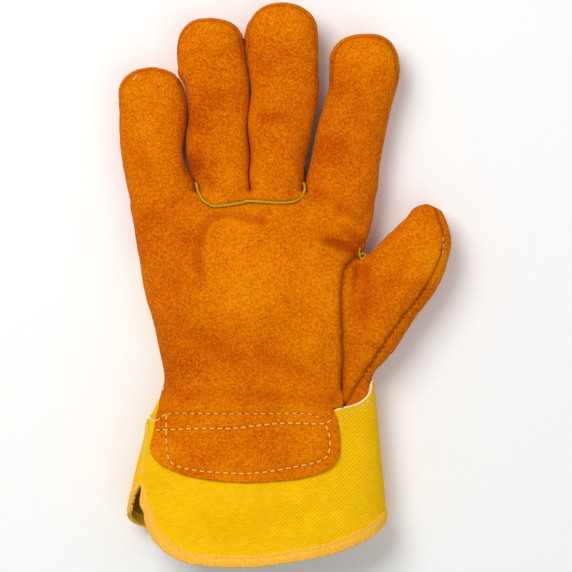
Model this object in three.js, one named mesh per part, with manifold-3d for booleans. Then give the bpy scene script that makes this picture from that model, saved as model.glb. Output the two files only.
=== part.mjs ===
// A right-hand rigger glove, palm up, in millimetres with +Z up: fingers along +Y, thumb towards +X.
// The hand is one hollow form, lofted as a palm, four fingers and a thumb. It is cut along its real seams
// into a palm, a front for the two middle fingers, a thumb front and back, finger side strips, finger backs,
// a knuckle strap and a drill back. The cuff is a flat pattern of drill wrapped round the wrist,
// open at a slit on the little finger's side, with a tape folded over its free edge.
import * as THREE from "three";
import { mergeVertices } from "three/addons/utils/BufferGeometryUtils.js";
import Module from "manifold-3d";

const wasm = await Module();
wasm.setup();

// Driving sizes of the hand.
const palmWidth = 119;
const palmLength = 106;
const fingerReach = 88.4;
const littleLength = 57.7;
const ringLength = 81.2;
const indexLength = 73.6;
const fingerThickness = 23;
const palmThickness = 33.5;
const sideSeamHeight = 12;
const fingertipLift = 5;
const thumbLength = 83;
const thumbWidth = 35;
const thumbThickness = 25;
const thumbAngle = 27.4;
const thumbTip = { x: 88.8, y: -8.1 };
const thumbSeamHeight = 16;

// Driving sizes of the cuff.
const cuffWidth = 123;
const cuffLength = 74;
const cuffHeight = 41;
const cuffSeamHeight = 17;

// Materials and sewing.
const leather = 1.5;
const drill = 1.1;
const tape = 0.8;
const tapeWidth = 5.6;
const weltDiameter = 1.7;
const thumbWeltDiameter = 1.5;
const gap = 0.3;
const tipLap = 2.2;
const sideLap = 1.8;
const sideStripWidth = 13;
const knuckleStrapTop = -4;
const knuckleStrapWidth = 26;

// How finely the lofts are cut.
const fingerSides = 12;
const palmSides = 24;
const fingerRoundness = 2.5;
const palmRoundness = 2.6;
const cuffRoundness = 2.2;
const tipRoundness = 2.2;
const farAway = 200;

// Edge curves seen from above. Going up a finger, at is a share of fingerReach above the crotch line;
// below it, at is negative and a share of palmLength. x and open are shares of palmWidth.
const littleSide = [
  { at: -1.06, x: -0.4 },
  { at: -0.964, x: -0.378 },
  { at: -0.911, x: -0.357 },
  { at: -0.857, x: -0.343 },
  { at: -0.786, x: -0.349 },
  { at: -0.634, x: -0.38 },
  { at: -0.455, x: -0.42 },
  { at: -0.25, x: -0.454 },
  { at: -0.054, x: -0.482 },
  { at: 0.124, x: -0.509 },
  { at: 0.366, x: -0.524 },
  { at: 0.6, x: -0.526 },
];
const indexSide = [
  { at: -1.06, x: 0.482 },
  { at: -0.857, x: 0.466 },
  { at: -0.554, x: 0.474 },
  { at: -0.357, x: 0.462 },
  { at: -0.286, x: 0.456 },
  { at: -0.152, x: 0.486 },
  { at: -0.009, x: 0.508 },
  { at: 0.129, x: 0.518 },
  { at: 0.301, x: 0.542 },
  { at: 0.473, x: 0.57 },
  { at: 0.591, x: 0.592 },
  { at: 0.7, x: 0.602 },
];
const littleRingGap = [
  { at: -0.25, x: -0.21, open: 0.004 },
  { at: 0.027, x: -0.219, open: 0.004 },
  { at: 0.097, x: -0.243, open: 0.004 },
  { at: 0.194, x: -0.264, open: 0.013 },
  { at: 0.27, x: -0.261, open: 0.005 },
  { at: 0.376, x: -0.249, open: 0.004 },
  { at: 0.473, x: -0.252, open: 0.004 },
  { at: 0.538, x: -0.263, open: 0.004 },
  { at: 0.602, x: -0.29, open: 0.004 },
  { at: 0.667, x: -0.299, open: 0.004 },
  { at: 0.85, x: -0.299, open: 0.004 },
];
const ringMiddleGap = [
  { at: -0.25, x: 0, open: 0.004 },
  { at: 0, x: 0, open: 0.004 },
  { at: 0.07, x: -0.006, open: 0.004 },
  { at: 0.161, x: 0, open: 0.004 },
  { at: 0.333, x: -0.012, open: 0.004 },
  { at: 0.527, x: 0, open: 0.004 },
  { at: 0.71, x: -0.017, open: 0.004 },
  { at: 0.82, x: -0.028, open: 0.004 },
];
const middleIndexGap = [
  { at: -0.25, x: 0.218, open: 0.006 },
  { at: 0.054, x: 0.22, open: 0.008 },
  { at: 0.129, x: 0.229, open: 0.02 },
  { at: 0.301, x: 0.255, open: 0.017 },
  { at: 0.387, x: 0.27, open: 0.017 },
  { at: 0.473, x: 0.285, open: 0.028 },
  { at: 0.527, x: 0.294, open: 0.037 },
  { at: 0.656, x: 0.295, open: 0.039 },
  { at: 0.9, x: 0.295, open: 0.04 },
];

// Thickness of a finger and height of the palm along the hand, as shares of fingerThickness and
// palmThickness.
const fingerSwell = [
  { at: -0.25, thick: 0.9 },
  { at: -0.08, thick: 1.06 },
  { at: 0.15, thick: 1 },
  { at: 0.45, thick: 0.96 },
  { at: 1, thick: 0.86 },
];
const palmSwell = [
  { at: -1.02, top: 0.98 },
  { at: -0.95, top: 1.01 },
  { at: -0.86, top: 0.97 },
  { at: -0.7, top: 1 },
  { at: -0.5, top: 1 },
  { at: -0.33, top: 0.93 },
  { at: -0.2, top: 0.86 },
  { at: -0.12, top: 0.8 },
  { at: -0.06, top: 0.7 },
  { at: -0.02, top: 0.62 },
];

// The thumb from its root to its tip: along is a share of thumbLength, side and width of thumbWidth, thick
// of thumbThickness.
const thumbRows = [
  { along: 0, side: -0.07, width: 0.72, thick: 0.84 },
  { along: 0.143, side: -0.04, width: 0.85, thick: 0.96 },
  { along: 0.286, side: -0.04, width: 0.9, thick: 1 },
  { along: 0.4, side: -0.027, width: 0.95, thick: 1.02 },
  { along: 0.514, side: 0, width: 1, thick: 1.02 },
  { along: 0.629, side: 0.024, width: 0.968, thick: 0.98 },
  { along: 0.743, side: 0.047, width: 0.851, thick: 0.9 },
  { along: 0.857, side: 0.045, width: 0.681, thick: 0.76 },
  { along: 0.943, side: -0.011, width: 0.449, thick: 0.54 },
  { along: 0.985, side: -0.02, width: 0.22, thick: 0.28 },
];

// Folds pressed into the palm side. x and y are shares of palmWidth and palmLength, reach of palmWidth,
// depth in shares of leather.
const folds = [
  { x1: 0.28, y1: -0.06, x2: 0.47, y2: -0.13, reach: 0.045, depth: 1.3 },
  { x1: 0.46, y1: -0.28, x2: 0.31, y2: -0.25, reach: 0.045, depth: 1.3 },
  { x1: -0.36, y1: -0.16, x2: -0.13, y2: -0.2, reach: 0.06, depth: 0.9 },
  { x1: -0.13, y1: -0.2, x2: -0.19, y2: -0.5, reach: 0.05, depth: 0.8 },
  { x1: 0.37, y1: -0.32, x2: 0.38, y2: -0.8, reach: 0.03, depth: 1.1 },
];

// Height of a point of the table at a given place, smooth between the rows.
function lookUp(rows, key, place, by = "at") {
  const last = rows.length - 1;
  const where = THREE.MathUtils.clamp(place, rows[0][by], rows[last][by]);
  let i = 0;
  while (i < last - 1 && rows[i + 1][by] < where) i += 1;
  const slope = (k) => {
    const before = rows[Math.max(k - 1, 0)];
    const after = rows[Math.min(k + 1, last)];
    return (after[key] - before[key]) / (after[by] - before[by]);
  };
  const from = rows[i];
  const to = rows[i + 1];
  const span = to[by] - from[by];
  const t = (where - from[by]) / span;
  const t2 = t * t;
  const t3 = t2 * t;
  return (
    (2 * t3 - 3 * t2 + 1) * from[key] +
    (t3 - 2 * t2 + t) * span * slope(i) +
    (3 * t2 - 2 * t3) * to[key] +
    (t3 - t2) * span * slope(i + 1)
  );
}

const heightUp = (at) => (at < 0 ? at * palmLength : at * fingerReach);
const shareUp = (y) => (y < 0 ? y / palmLength : y / fingerReach);
const edgeX = (rows, y) => palmWidth * lookUp(rows, "x", shareUp(y));
const gapEdge = (rows, y, side) => edgeX(rows, y) + side * 0.5 * palmWidth * lookUp(rows, "open", shareUp(y));

// How far the palm side is pressed in by the folds at a point.
function foldDepth(x, y) {
  let pressed = 0;
  for (const fold of folds) {
    const start = new THREE.Vector2(fold.x1 * palmWidth, fold.y1 * palmLength);
    const end = new THREE.Vector2(fold.x2 * palmWidth, fold.y2 * palmLength);
    const along = end.clone().sub(start);
    const run = new THREE.Vector2(x, y).sub(start).dot(along) / along.lengthSq();
    const share = THREE.MathUtils.clamp(run, 0, 1);
    const away = Math.hypot(x - start.x - share * along.x, y - start.y - share * along.y);
    pressed += fold.depth * leather * Math.exp(-((away / (fold.reach * palmWidth)) ** 2));
  }
  return pressed;
}

// A point on a rounded section, grown by a distance and flattened on the floor below it.
function sectionPoint(section, angle, grow) {
  const power = 2 / section.roundness;
  const c = Math.cos(angle);
  const s = Math.sin(angle);
  const across = Math.sign(c) * Math.abs(c) ** power * Math.max(section.half + grow, 0.2);
  const tall = (s > 0 ? section.rise : section.drop) + grow;
  const up = section.middle + Math.sign(s) * Math.abs(s) ** power * Math.max(tall, 0.2);
  return { across, up: Math.max(up, section.floor - grow), share: s };
}

// Joins rings of points into a closed solid, with a flat fan over each end.
function loft(rings) {
  const corners = [];
  const triangle = (a, b, c) => corners.push(a, b, c);
  const sumOf = (ring) => ring.reduce((sum, p) => sum.add(p), new THREE.Vector3());
  const centreOf = (ring) => sumOf(ring).divideScalar(ring.length);
  for (let i = 0; i + 1 < rings.length; i += 1) {
    for (let j = 0; j < rings[i].length; j += 1) {
      const k = (j + 1) % rings[i].length;
      triangle(rings[i][j], rings[i][k], rings[i + 1][k]);
      triangle(rings[i][j], rings[i + 1][k], rings[i + 1][j]);
    }
  }
  const first = rings[0];
  const final = rings[rings.length - 1];
  const start = centreOf(first);
  const end = centreOf(final);
  for (let j = 0; j < first.length; j += 1) {
    const k = (j + 1) % first.length;
    triangle(start, first[k], first[j]);
    triangle(end, final[j], final[k]);
  }
  return new THREE.BufferGeometry().setFromPoints(corners);
}

// A closed three.js geometry as a solid that can be joined and cut.
function solidOf(geometry) {
  const bare = new THREE.BufferGeometry().setAttribute("position", geometry.getAttribute("position"));
  if (geometry.index) bare.setIndex(geometry.index);
  const merged = mergeVertices(bare, 1e-4);
  const triVerts = new Uint32Array(merged.index.array);
  const vertProperties = merged.getAttribute("position").array;
  const solid = new wasm.Manifold(new wasm.Mesh({ numProp: 3, vertProperties, triVerts }));
  if (solid.volume() > 0) return solid;
  for (let i = 0; i < triVerts.length; i += 3) {
    [triVerts[i + 1], triVerts[i + 2]] = [triVerts[i + 2], triVerts[i + 1]];
  }
  return new wasm.Manifold(new wasm.Mesh({ numProp: 3, vertProperties, triVerts }));
}

function geometryOf(solid) {
  const mesh = solid.getMesh();
  const geometry = new THREE.BufferGeometry();
  geometry.setAttribute("position", new THREE.BufferAttribute(new Float32Array(mesh.vertProperties), 3));
  geometry.setIndex([...mesh.triVerts]);
  return geometry.toNonIndexed();
}

// A prism over a plan outline, between two heights.
function prism(points, low = -farAway, high = farAway) {
  const shape = new THREE.Shape(points.map(([x, y]) => new THREE.Vector2(x, y)));
  const geometry = new THREE.ExtrudeGeometry(shape, { depth: high - low, bevelEnabled: false });
  return solidOf(geometry.translate(0, 0, low));
}

const fingers = {
  little: {
    left: (y) => edgeX(littleSide, y),
    right: (y) => gapEdge(littleRingGap, y, -1),
    length: littleLength,
  },
  ring: {
    left: (y) => gapEdge(littleRingGap, y, 1),
    right: (y) => gapEdge(ringMiddleGap, y, -1),
    length: ringLength,
  },
  middle: {
    left: (y) => gapEdge(ringMiddleGap, y, 1),
    right: (y) => gapEdge(middleIndexGap, y, -1),
    length: fingerReach,
  },
  index: {
    left: (y) => gapEdge(middleIndexGap, y, 1),
    right: (y) => edgeX(indexSide, y),
    length: indexLength,
  },
};

// Height of the side seam: level along the palm, rising with the curl of the fingers.
const seamHeightAt = (y) => sideSeamHeight + fingertipLift * Math.max(0, y / fingerReach) ** 2;

// Height up a finger where its tip starts to round.
const tipStart = (finger) => finger.length - 0.5 * (finger.right(finger.length) - finger.left(finger.length));

// Section of a finger at a place; over the tip it narrows and thins.
function fingerSlice(finger, y, grow) {
  const start = tipStart(finger);
  const body = Math.min(y, start);
  const left = finger.left(body);
  const right = finger.right(body);
  const past = THREE.MathUtils.clamp((y - start) / (finger.length + grow - start), 0, 1);
  const narrow = (1 - past ** tipRoundness) ** (1 / tipRoundness);
  const thin = (1 - past ** 3) ** (1 / 3);
  const thick = 0.5 * fingerThickness * lookUp(fingerSwell, "thick", shareUp(y));
  const buried = 0.12 * Math.max(0, -y);
  return {
    centre: 0.5 * (left + right),
    half: (0.5 * (right - left) - buried + grow) * narrow - grow,
    middle: seamHeightAt(y),
    rise: (thick + grow) * thin - grow,
    drop: (1.06 * thick + grow) * thin - grow,
    floor: 0,
    roundness: fingerRoundness,
  };
}

function ringAcross(section, y, count, grow) {
  const ring = [];
  for (let i = 0; i < count; i += 1) {
    const p = sectionPoint(section, (2 * Math.PI * i) / count, grow);
    const x = section.centre + p.across;
    const pressed = p.share > 0 ? foldDepth(x, y) * Math.min(1, 2 * p.share) : 0;
    ring.push(new THREE.Vector3(x, y, p.up - pressed));
  }
  return ring;
}

function fingerForm(finger, grow) {
  const start = tipStart(finger);
  const places = [-0.2 * palmLength, -0.06 * palmLength];
  const bodyRings = Math.max(4, Math.round(start / 14));
  for (let i = 0; i <= bodyRings; i += 1) places.push((start * i) / bodyRings);
  const roundLength = finger.length + grow - start;
  for (const share of [0.45, 0.75, 0.92, 0.985]) places.push(start + share * roundLength);
  return loft(places.map((y) => ringAcross(fingerSlice(finger, y, grow), y, fingerSides, grow)));
}

// Section of the palm. Close to the fingers its shoulders draw in, so that it ends inside them.
function palmSlice(y) {
  const shoulder = 0.3 * Math.max(0, y + 0.08 * palmLength);
  const left = edgeX(littleSide, y) + shoulder;
  const right = edgeX(indexSide, y) - shoulder;
  const top = palmThickness * lookUp(palmSwell, "top", shareUp(y));
  return {
    centre: 0.5 * (left + right),
    half: 0.5 * (right - left),
    middle: seamHeightAt(y),
    rise: top - seamHeightAt(y),
    drop: 1.06 * seamHeightAt(y),
    floor: 0,
    roundness: palmRoundness,
  };
}

// Section of the cuff down its length: down is a share of cuffLength below the wrist, left and right of
// cuffWidth, top of cuffHeight.
const cuffRows = [
  { down: -0.25, left: -0.37, right: 0.478, top: 0.77 },
  { down: -0.077, left: -0.385, right: 0.483, top: 0.78 },
  { down: 0.051, left: -0.4, right: 0.493, top: 0.8 },
  { down: 0.179, left: -0.413, right: 0.5, top: 0.84 },
  { down: 0.436, left: -0.45, right: 0.514, top: 0.91 },
  { down: 0.641, left: -0.47, right: 0.525, top: 0.96 },
  { down: 1.05, left: -0.478, right: 0.532, top: 1 },
];
const wristY = -palmLength;
const cuffY = (down) => wristY - down * cuffLength;

function cuffSlice(y) {
  const down = (wristY - y) / cuffLength;
  const left = cuffWidth * lookUp(cuffRows, "left", down, "down");
  const right = cuffWidth * lookUp(cuffRows, "right", down, "down");
  const floor = tape + gap;
  return {
    centre: 0.5 * (left + right),
    half: 0.5 * (right - left),
    middle: cuffSeamHeight,
    rise: cuffHeight * lookUp(cuffRows, "top", down, "down") - cuffSeamHeight,
    drop: 1.04 * (cuffSeamHeight - floor),
    floor,
    roundness: cuffRoundness,
  };
}

// The palm down to the wrist, where it goes over the cuff as the flap or tucks in under the cuff.
function palmForm(grow, wrist) {
  const places = [-0.7, -0.56, -0.42, -0.3, -0.2, -0.12, -0.06, -0.02];
  const rings = (wrist === "over" ? [-0.96, -0.9, -0.82, ...places] : [-0.8, ...places]).map((at) => {
    const y = heightUp(at) + (at > -0.03 ? grow : 0);
    return ringAcross(palmSlice(y), y, palmSides, grow);
  });
  const beyond = wrist === "over" ? [-1.42, -1.28, -1.15, -1.02] : [-1.14, -1.0, -0.87];
  const away = wrist === "over" ? gap + leather : -drill - gap;
  const wristRings = beyond.map((at) => {
    const y = heightUp(at);
    return ringAcross(cuffSlice(y), y, palmSides, grow + away);
  });
  return loft([...wristRings, ...rings]);
}

// The thumb's own axis leans away from the hand, and its sections stand square to it.
const thumbAim = new THREE.Vector2(
  Math.sin(THREE.MathUtils.degToRad(thumbAngle)),
  Math.cos(THREE.MathUtils.degToRad(thumbAngle)),
);
const thumbAcross = new THREE.Vector2(thumbAim.y, -thumbAim.x);

function thumbPlace(along, side) {
  const back = (1 - along) * thumbLength;
  return new THREE.Vector2(thumbTip.x, thumbTip.y)
    .addScaledVector(thumbAim, -back)
    .addScaledVector(thumbAcross, side * thumbWidth);
}

function thumbForm(grow) {
  const rings = thumbRows.map((row) => {
    const past = row.along > 0.5 ? grow : 0;
    const centre = thumbPlace(row.along, row.side).addScaledVector(thumbAim, past);
    const section = {
      half: 0.5 * row.width * thumbWidth,
      middle: thumbSeamHeight,
      rise: 0.5 * row.thick * thumbThickness,
      drop: 0.5 * row.thick * thumbThickness,
      floor: 0,
      roundness: fingerRoundness,
    };
    return Array.from({ length: fingerSides }, (_, i) => {
      const p = sectionPoint(section, (2 * Math.PI * i) / fingerSides, grow);
      const at = centre.clone().addScaledVector(thumbAcross, p.across);
      return new THREE.Vector3(at.x, at.y, p.up);
    });
  });
  return loft(rings);
}

// The whole hand as one solid, grown or shrunk by a wall.
function handForm(grow, wrist) {
  const fingerParts = Object.values(fingers).map((finger) => fingerForm(finger, grow));
  const parts = [palmForm(grow, wrist), thumbForm(grow), ...fingerParts];
  return parts.map(solidOf).reduce((whole, part) => whole.add(part));
}

const outside = handForm(0, "under");
const tuckedShell = outside.subtract(handForm(-leather, "under"));
const drillShell = outside.subtract(handForm(-drill, "under"));
const flapShell = handForm(0, "over").subtract(handForm(-leather, "over"));

// Seams seen from above, in the same shares as the edge curves.
const weltLine = [
  { at: 0.032, x: -0.217 },
  { at: -0.013, x: -0.207 },
  { at: -0.049, x: -0.191 },
  { at: -0.071, x: -0.167 },
  { at: -0.083, x: -0.135 },
  { at: -0.069, x: -0.04 },
  { at: -0.06, x: 0 },
  { at: -0.067, x: 0.1 },
  { at: -0.065, x: 0.159 },
  { at: -0.054, x: 0.191 },
  { at: -0.031, x: 0.211 },
  { at: 0, x: 0.219 },
  { at: 0.032, x: 0.213 },
];
const thumbSeam = [
  { at: -0.107, x: 0.566 },
  { at: -0.277, x: 0.462 },
  { at: -0.33, x: 0.406 },
  { at: -0.375, x: 0.378 },
  { at: -0.5, x: 0.367 },
  { at: -0.679, x: 0.374 },
  { at: -0.768, x: 0.378 },
  { at: -0.879, x: 0.371 },
  { at: -1.15, x: 0.378 },
];
const thumbWeltLine = [
  { at: -0.292, x: 0.45 },
  { at: -0.318, x: 0.42 },
  { at: -0.335, x: 0.402 },
];
const flapEdge = [
  { at: -0.87, x: -0.35 },
  { at: -0.95, x: -0.361 },
  { at: -1.036, x: -0.378 },
  { at: -1.112, x: -0.394 },
  { at: -1.18, x: -0.396 },
  { at: -1.24, x: -0.354 },
  { at: -1.27, x: -0.293 },
  { at: -1.296, x: -0.216 },
  { at: -1.317, x: -0.026 },
  { at: -1.305, x: 0.165 },
  { at: -1.284, x: 0.256 },
  { at: -1.253, x: 0.317 },
  { at: -1.198, x: 0.355 },
  { at: -1.085, x: 0.355 },
  { at: -0.98, x: 0.331 },
];
const cuffTopEdge = [
  { down: 0.02, x: -0.6 },
  { down: 0.02, x: -0.41 },
  { down: 0.05, x: -0.37 },
  { down: 0.05, x: 0.24 },
  { down: -0.02, x: 0.325 },
  { down: -0.07, x: 0.41 },
  { down: -0.12, x: 0.452 },
  { down: -0.2, x: 0.472 },
  { down: -0.2, x: 0.6 },
];
const cuffRimRight = [
  { down: 1, x: -0.03 },
  { down: 0.997, x: 0.03 },
  { down: 0.974, x: 0.131 },
  { down: 0.923, x: 0.298 },
  { down: 0.872, x: 0.382 },
  { down: 0.821, x: 0.454 },
  { down: 0.769, x: 0.487 },
  { down: 0.667, x: 0.525 },
  { down: 0.6, x: 0.6 },
];
const cuffRimLeftFront = [
  { down: 0.56, x: -0.6 },
  { down: 0.615, x: -0.427 },
  { down: 0.718, x: -0.404 },
  { down: 0.821, x: -0.371 },
  { down: 0.872, x: -0.343 },
  { down: 0.923, x: -0.306 },
  { down: 0.974, x: -0.23 },
  { down: 0.994, x: -0.119 },
];
const cuffRimLeftBack = [
  { down: 0.62, x: -0.6 },
  { down: 0.7, x: -0.471 },
  { down: 0.76, x: -0.44 },
  { down: 0.83, x: -0.39 },
  { down: 0.88, x: -0.335 },
  { down: 0.93, x: -0.26 },
  { down: 0.974, x: -0.16 },
];
// The slit seen from the side: up is a share of cuffHeight.
const slitEdge = [
  { down: 1.3, up: 0.44 },
  { down: 0.8, up: 0.45 },
  { down: 0.62, up: 0.51 },
  { down: 0.51, up: 0.58 },
  { down: 0.465, up: 0.635 },
  { down: 0.53, up: 0.665 },
  { down: 0.7, up: 0.675 },
  { down: 1.3, up: 0.675 },
];
const thumbLip = [
  { at: -0.084, x: 0.74 },
  { at: -0.199, x: 0.771 },
  { at: -0.292, x: 0.764 },
  { at: -0.445, x: 0.702 },
  { at: -0.591, x: 0.6 },
  { at: -0.752, x: 0.504 },
  { at: -0.9, x: 0.42 },
  { at: -1, x: 0.36 },
];

const seamPoints = (rows) => rows.map((row) => [row.x * palmWidth, heightUp(row.at)]);
const cuffPoints = (rows) => rows.map((row) => [row.x * cuffWidth, cuffY(row.down)]);

// A line of points moved to its left by a distance.
function beside(points, distance) {
  return points.map(([x, y], i) => {
    const before = points[Math.max(i - 1, 0)];
    const after = points[Math.min(i + 1, points.length - 1)];
    const run = new THREE.Vector2(after[0] - before[0], after[1] - before[1]).normalize();
    return [x - run.y * distance, y + run.x * distance];
  });
}

// Plan outline of a finger, drawn in on its left, on its right and over its tip, from a height upward.
function fingerOutline(finger, left, right, tip, from) {
  const start = tipStart(finger);
  const heights = [from];
  for (let i = 0; i <= 6; i += 1) {
    const y = (start * i) / 6;
    if (y > from) heights.push(y);
  }
  const leftSide = heights.map((y) => [finger.left(y) + left, y]);
  const rightSide = heights.map((y) => [finger.right(y) - right, y]).reverse();
  const a = finger.left(start) + left;
  const b = finger.right(start) - right;
  const reach = finger.length - tip - start;
  const round = [];
  for (let i = 1; i < 8; i += 1) {
    const angle = Math.PI * (1 - i / 8);
    const power = 2 / tipRoundness;
    const c = Math.cos(angle);
    const across = Math.sign(c) * Math.abs(c) ** power;
    round.push([0.5 * (a + b) + 0.5 * (b - a) * across, start + reach * Math.sin(angle) ** power]);
  }
  return { leftSide, round, rightSide, all: [...leftSide, ...round, ...rightSide] };
}

// A prism over an outline of places along and heights, seen from the side, between two places across.
function sidePrism(points, low, high) {
  const shape = new THREE.Shape(points.map(([y, z]) => new THREE.Vector2(y, z)));
  const geometry = new THREE.ExtrudeGeometry(shape, { depth: high - low, bevelEnabled: false });
  const turned = new THREE.Matrix4().makeBasis(
    new THREE.Vector3(0, 1, 0),
    new THREE.Vector3(0, 0, 1),
    new THREE.Vector3(1, 0, 0),
  );
  return solidOf(geometry.applyMatrix4(turned).translate(low, 0, 0));
}

// Everything above or below a height that changes along the hand.
function halfSpace(heightAt, upper) {
  const edge = [];
  for (let i = 0; i <= 6; i += 1) {
    const y = (fingerReach * i) / 6;
    edge.push([y, heightAt(y)]);
  }
  const line = [[-farAway, heightAt(0)], ...edge, [farAway, heightAt(fingerReach)]];
  const side = upper ? farAway : -farAway;
  return sidePrism([...line, [farAway, side], [-farAway, side]], -farAway, farAway);
}

function span(low, high, above = -farAway) {
  return prism([[-farAway, low], [farAway, low], [farAway, high], [-farAway, high]], above);
}
const palmSide = halfSpace(seamHeightAt, true);
const palmSideGrown = halfSpace((y) => seamHeightAt(y) - gap, true);
const backSide = halfSpace((y) => seamHeightAt(y) - gap, false);

// Plan outline of the palm with the fronts of the little finger and index finger, grown by a distance.
function palmOutline(grow) {
  const little = fingerOutline(fingers.little, -sideLap - grow, sideLap - grow, tipLap - grow, 4);
  const index = fingerOutline(fingers.index, sideLap - grow, -sideLap - grow, tipLap - grow, 4);
  const welt = beside(seamPoints(weltLine), -0.5 * weltDiameter - gap + grow);
  const thumb = beside(seamPoints(thumbSeam), -0.5 * gap + grow);
  const bottom = heightUp(-0.98);
  const upper = thumb.filter(([, y]) => y > bottom);
  const flap = beside(seamPoints(flapEdge), -grow).reverse();
  const corner = [-farAway, flap.at(-1)[1] - grow];
  return [...little.all, ...welt, ...index.all, ...upper, ...flap, corner, [-farAway, little.all[0][1]]];
}

function middleOutline(grow) {
  const ring = fingerOutline(fingers.ring, sideLap - grow, sideLap - grow, tipLap - grow, 4);
  const middle = fingerOutline(fingers.middle, sideLap - grow, sideLap - grow, tipLap - grow, 4);
  const welt = beside(seamPoints(weltLine), 0.5 * weltDiameter + gap - grow).reverse();
  return [...ring.all, [0.5 * (ring.all.at(-1)[0] + middle.all[0][0]), -1 + grow], ...middle.all, ...welt];
}

// The strip between two fingers: a leg up the side of each, joined in the crotch, folded a little way onto
// both fronts.
function sideStrip(leftFinger, rightFinger, grow) {
  const low = sideSeamHeight - 0.5 * sideStripWidth - grow;
  const lap = sideLap + grow - gap;
  const leg = (edge, finger, inner, outer) => {
    const end = tipStart(finger) + 0.3 * (finger.length - tipStart(finger));
    const heights = [-6, 0, 0.2 * end, 0.4 * end, 0.6 * end, 0.8 * end, end];
    const near = heights.map((y) => [edge(y) + inner, y]);
    const far = heights.map((y) => [edge(y) + outer, y]).reverse();
    near[0][1] -= grow;
    far[6][1] -= grow;
    near[6][1] += grow;
    far[0][1] += grow;
    return prism([...near, ...far], low);
  };
  const left = leftFinger.right(-3) - lap;
  const right = rightFinger.left(-3) + lap;
  const web = prism([[left, -6 - grow], [right, -6 - grow], [right, -1], [left, -1]], low);
  const leftLeg = leg(leftFinger.right, leftFinger, -lap, 0.2);
  const rightLeg = leg(rightFinger.left, rightFinger, -0.2, lap);
  return leftLeg.add(rightLeg).add(web);
}

const fourchettes = {
  little_ring: (grow) => sideStrip(fingers.little, fingers.ring, grow),
  ring_middle: (grow) => sideStrip(fingers.ring, fingers.middle, grow),
  middle_index: (grow) => sideStrip(fingers.middle, fingers.index, grow),
};

// Keeps the bodies of a solid that are more than a scrap.
function tidy(solid) {
  const bodies = solid.decompose().filter((body) => body.volume() > 10);
  return bodies.slice(1).reduce((whole, body) => whole.add(body), bodies[0]);
}

// The front of the thumb, between the palm seam and the lip of its back leather.
function thumbOutline(grow) {
  const inner = beside(seamPoints(thumbSeam), 0.5 * gap - grow).filter(([, y]) => y > heightUp(-0.93));
  const lip = beside(seamPoints(thumbLip), grow).reverse();
  const overTip = [[0.7, -0.03], [0.6, -0.04]].map(([x, at]) => [x * palmWidth, heightUp(at)]);
  return [...inner, ...lip, ...overTip];
}

// Everything on the thumb's side of its seam, and everything on the hand's side.
const pastThumb = [0.655 * palmWidth, heightUp(0.113)];
const thumbRegion = prism([
  ...beside(seamPoints(thumbSeam), 0.5 * gap),
  [farAway, heightUp(-1.2)],
  [farAway, pastThumb[1]],
  pastThumb,
]);
const handRegion = prism([
  ...beside(seamPoints(thumbSeam), -0.5 * gap),
  [-farAway, heightUp(-1.2)],
  [-farAway, farAway],
  [farAway, farAway],
  [farAway, pastThumb[1]],
  pastThumb,
]);
const thumbUpper = span(-farAway, farAway, thumbSeamHeight);
const thumbUpperGrown = span(-farAway, farAway, thumbSeamHeight - gap);

// A cord along a line of points, with its top a little above the leather.
function cord(rows, diameter) {
  const points = seamPoints(rows).map(([x, y]) => new THREE.Vector3(x, y, Math.max(topAt(x, y), 17)));
  const rings = points.map((at, i) => {
    const after = points[Math.min(i + 1, points.length - 1)];
    const before = points[Math.max(i - 1, 0)];
    const run = after.clone().sub(before).normalize();
    const across = new THREE.Vector3(0, 0, 1).cross(run).normalize();
    const up = run.clone().cross(across);
    return Array.from({ length: 8 }, (_, k) => {
      const angle = (2 * Math.PI * k) / 8;
      return at
        .clone()
        .addScaledVector(across, 0.5 * diameter * Math.cos(angle))
        .addScaledVector(up, 0.5 * diameter * (Math.sin(angle) - 0.3));
    });
  });
  return solidOf(loft(rings));
}

// Height of the palm side above a place, over the palm and the fingers.
function topAt(x, y) {
  const sections = [[palmSlice(y), palmRoundness, y < 0]];
  for (const finger of Object.values(fingers)) {
    sections.push([fingerSlice(finger, y, 0), fingerRoundness, true]);
  }
  let top = 0;
  for (const [section, roundness, there] of sections) {
    const across = Math.abs(x - section.centre) / section.half;
    if (!there || across >= 1) continue;
    top = Math.max(top, section.middle + section.rise * (1 - across ** roundness) ** (1 / roundness));
  }
  return top - foldDepth(x, y);
}

// A slot through the palm side along a cord.
function slot(rows, diameter) {
  const points = seamPoints(rows);
  const width = 0.5 * diameter + gap;
  const past = (from, to) => [to[0] + 0.3 * (to[0] - from[0]), to[1] + 0.3 * (to[1] - from[1])];
  const longer = [past(points[1], points[0]), ...points.slice(1, -1), past(points.at(-2), points.at(-1))];
  return prism([...beside(longer, width), ...beside(longer, -width).reverse()], sideSeamHeight + 2);
}
const weltSlot = slot(weltLine, weltDiameter);
const thumbWeltSlot = slot(thumbWeltLine, thumbWeltDiameter);

// The leather of the palm side.
const palm = flapShell.intersect(prism(palmOutline(0))).intersect(palmSide).subtract(thumbWeltSlot);
const middleFront = tuckedShell.intersect(prism(middleOutline(0))).intersect(palmSide).subtract(weltSlot);
const frontsGrown = prism(palmOutline(gap)).add(prism(middleOutline(gap))).intersect(palmSideGrown);
const thumbFront = tuckedShell
  .intersect(prism(thumbOutline(0)))
  .intersect(thumbUpper)
  .subtract(thumbWeltSlot);
const thumbFrontGrown = prism(thumbOutline(gap)).intersect(thumbUpperGrown);
const thumbBack = tuckedShell.intersect(thumbRegion).subtract(thumbFrontGrown).subtract(thumbWeltSlot);

// The side strips between the fingers, and everything that they take away from the finger backs.
const strips = {};
let stripsGrown = weltSlot;
for (const [name, stripOf] of Object.entries(fourchettes)) {
  strips[name] = tuckedShell.intersect(stripOf(0)).subtract(frontsGrown).subtract(weltSlot);
  stripsGrown = stripsGrown.add(stripOf(gap)).add(stripOf(0));
}

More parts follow.
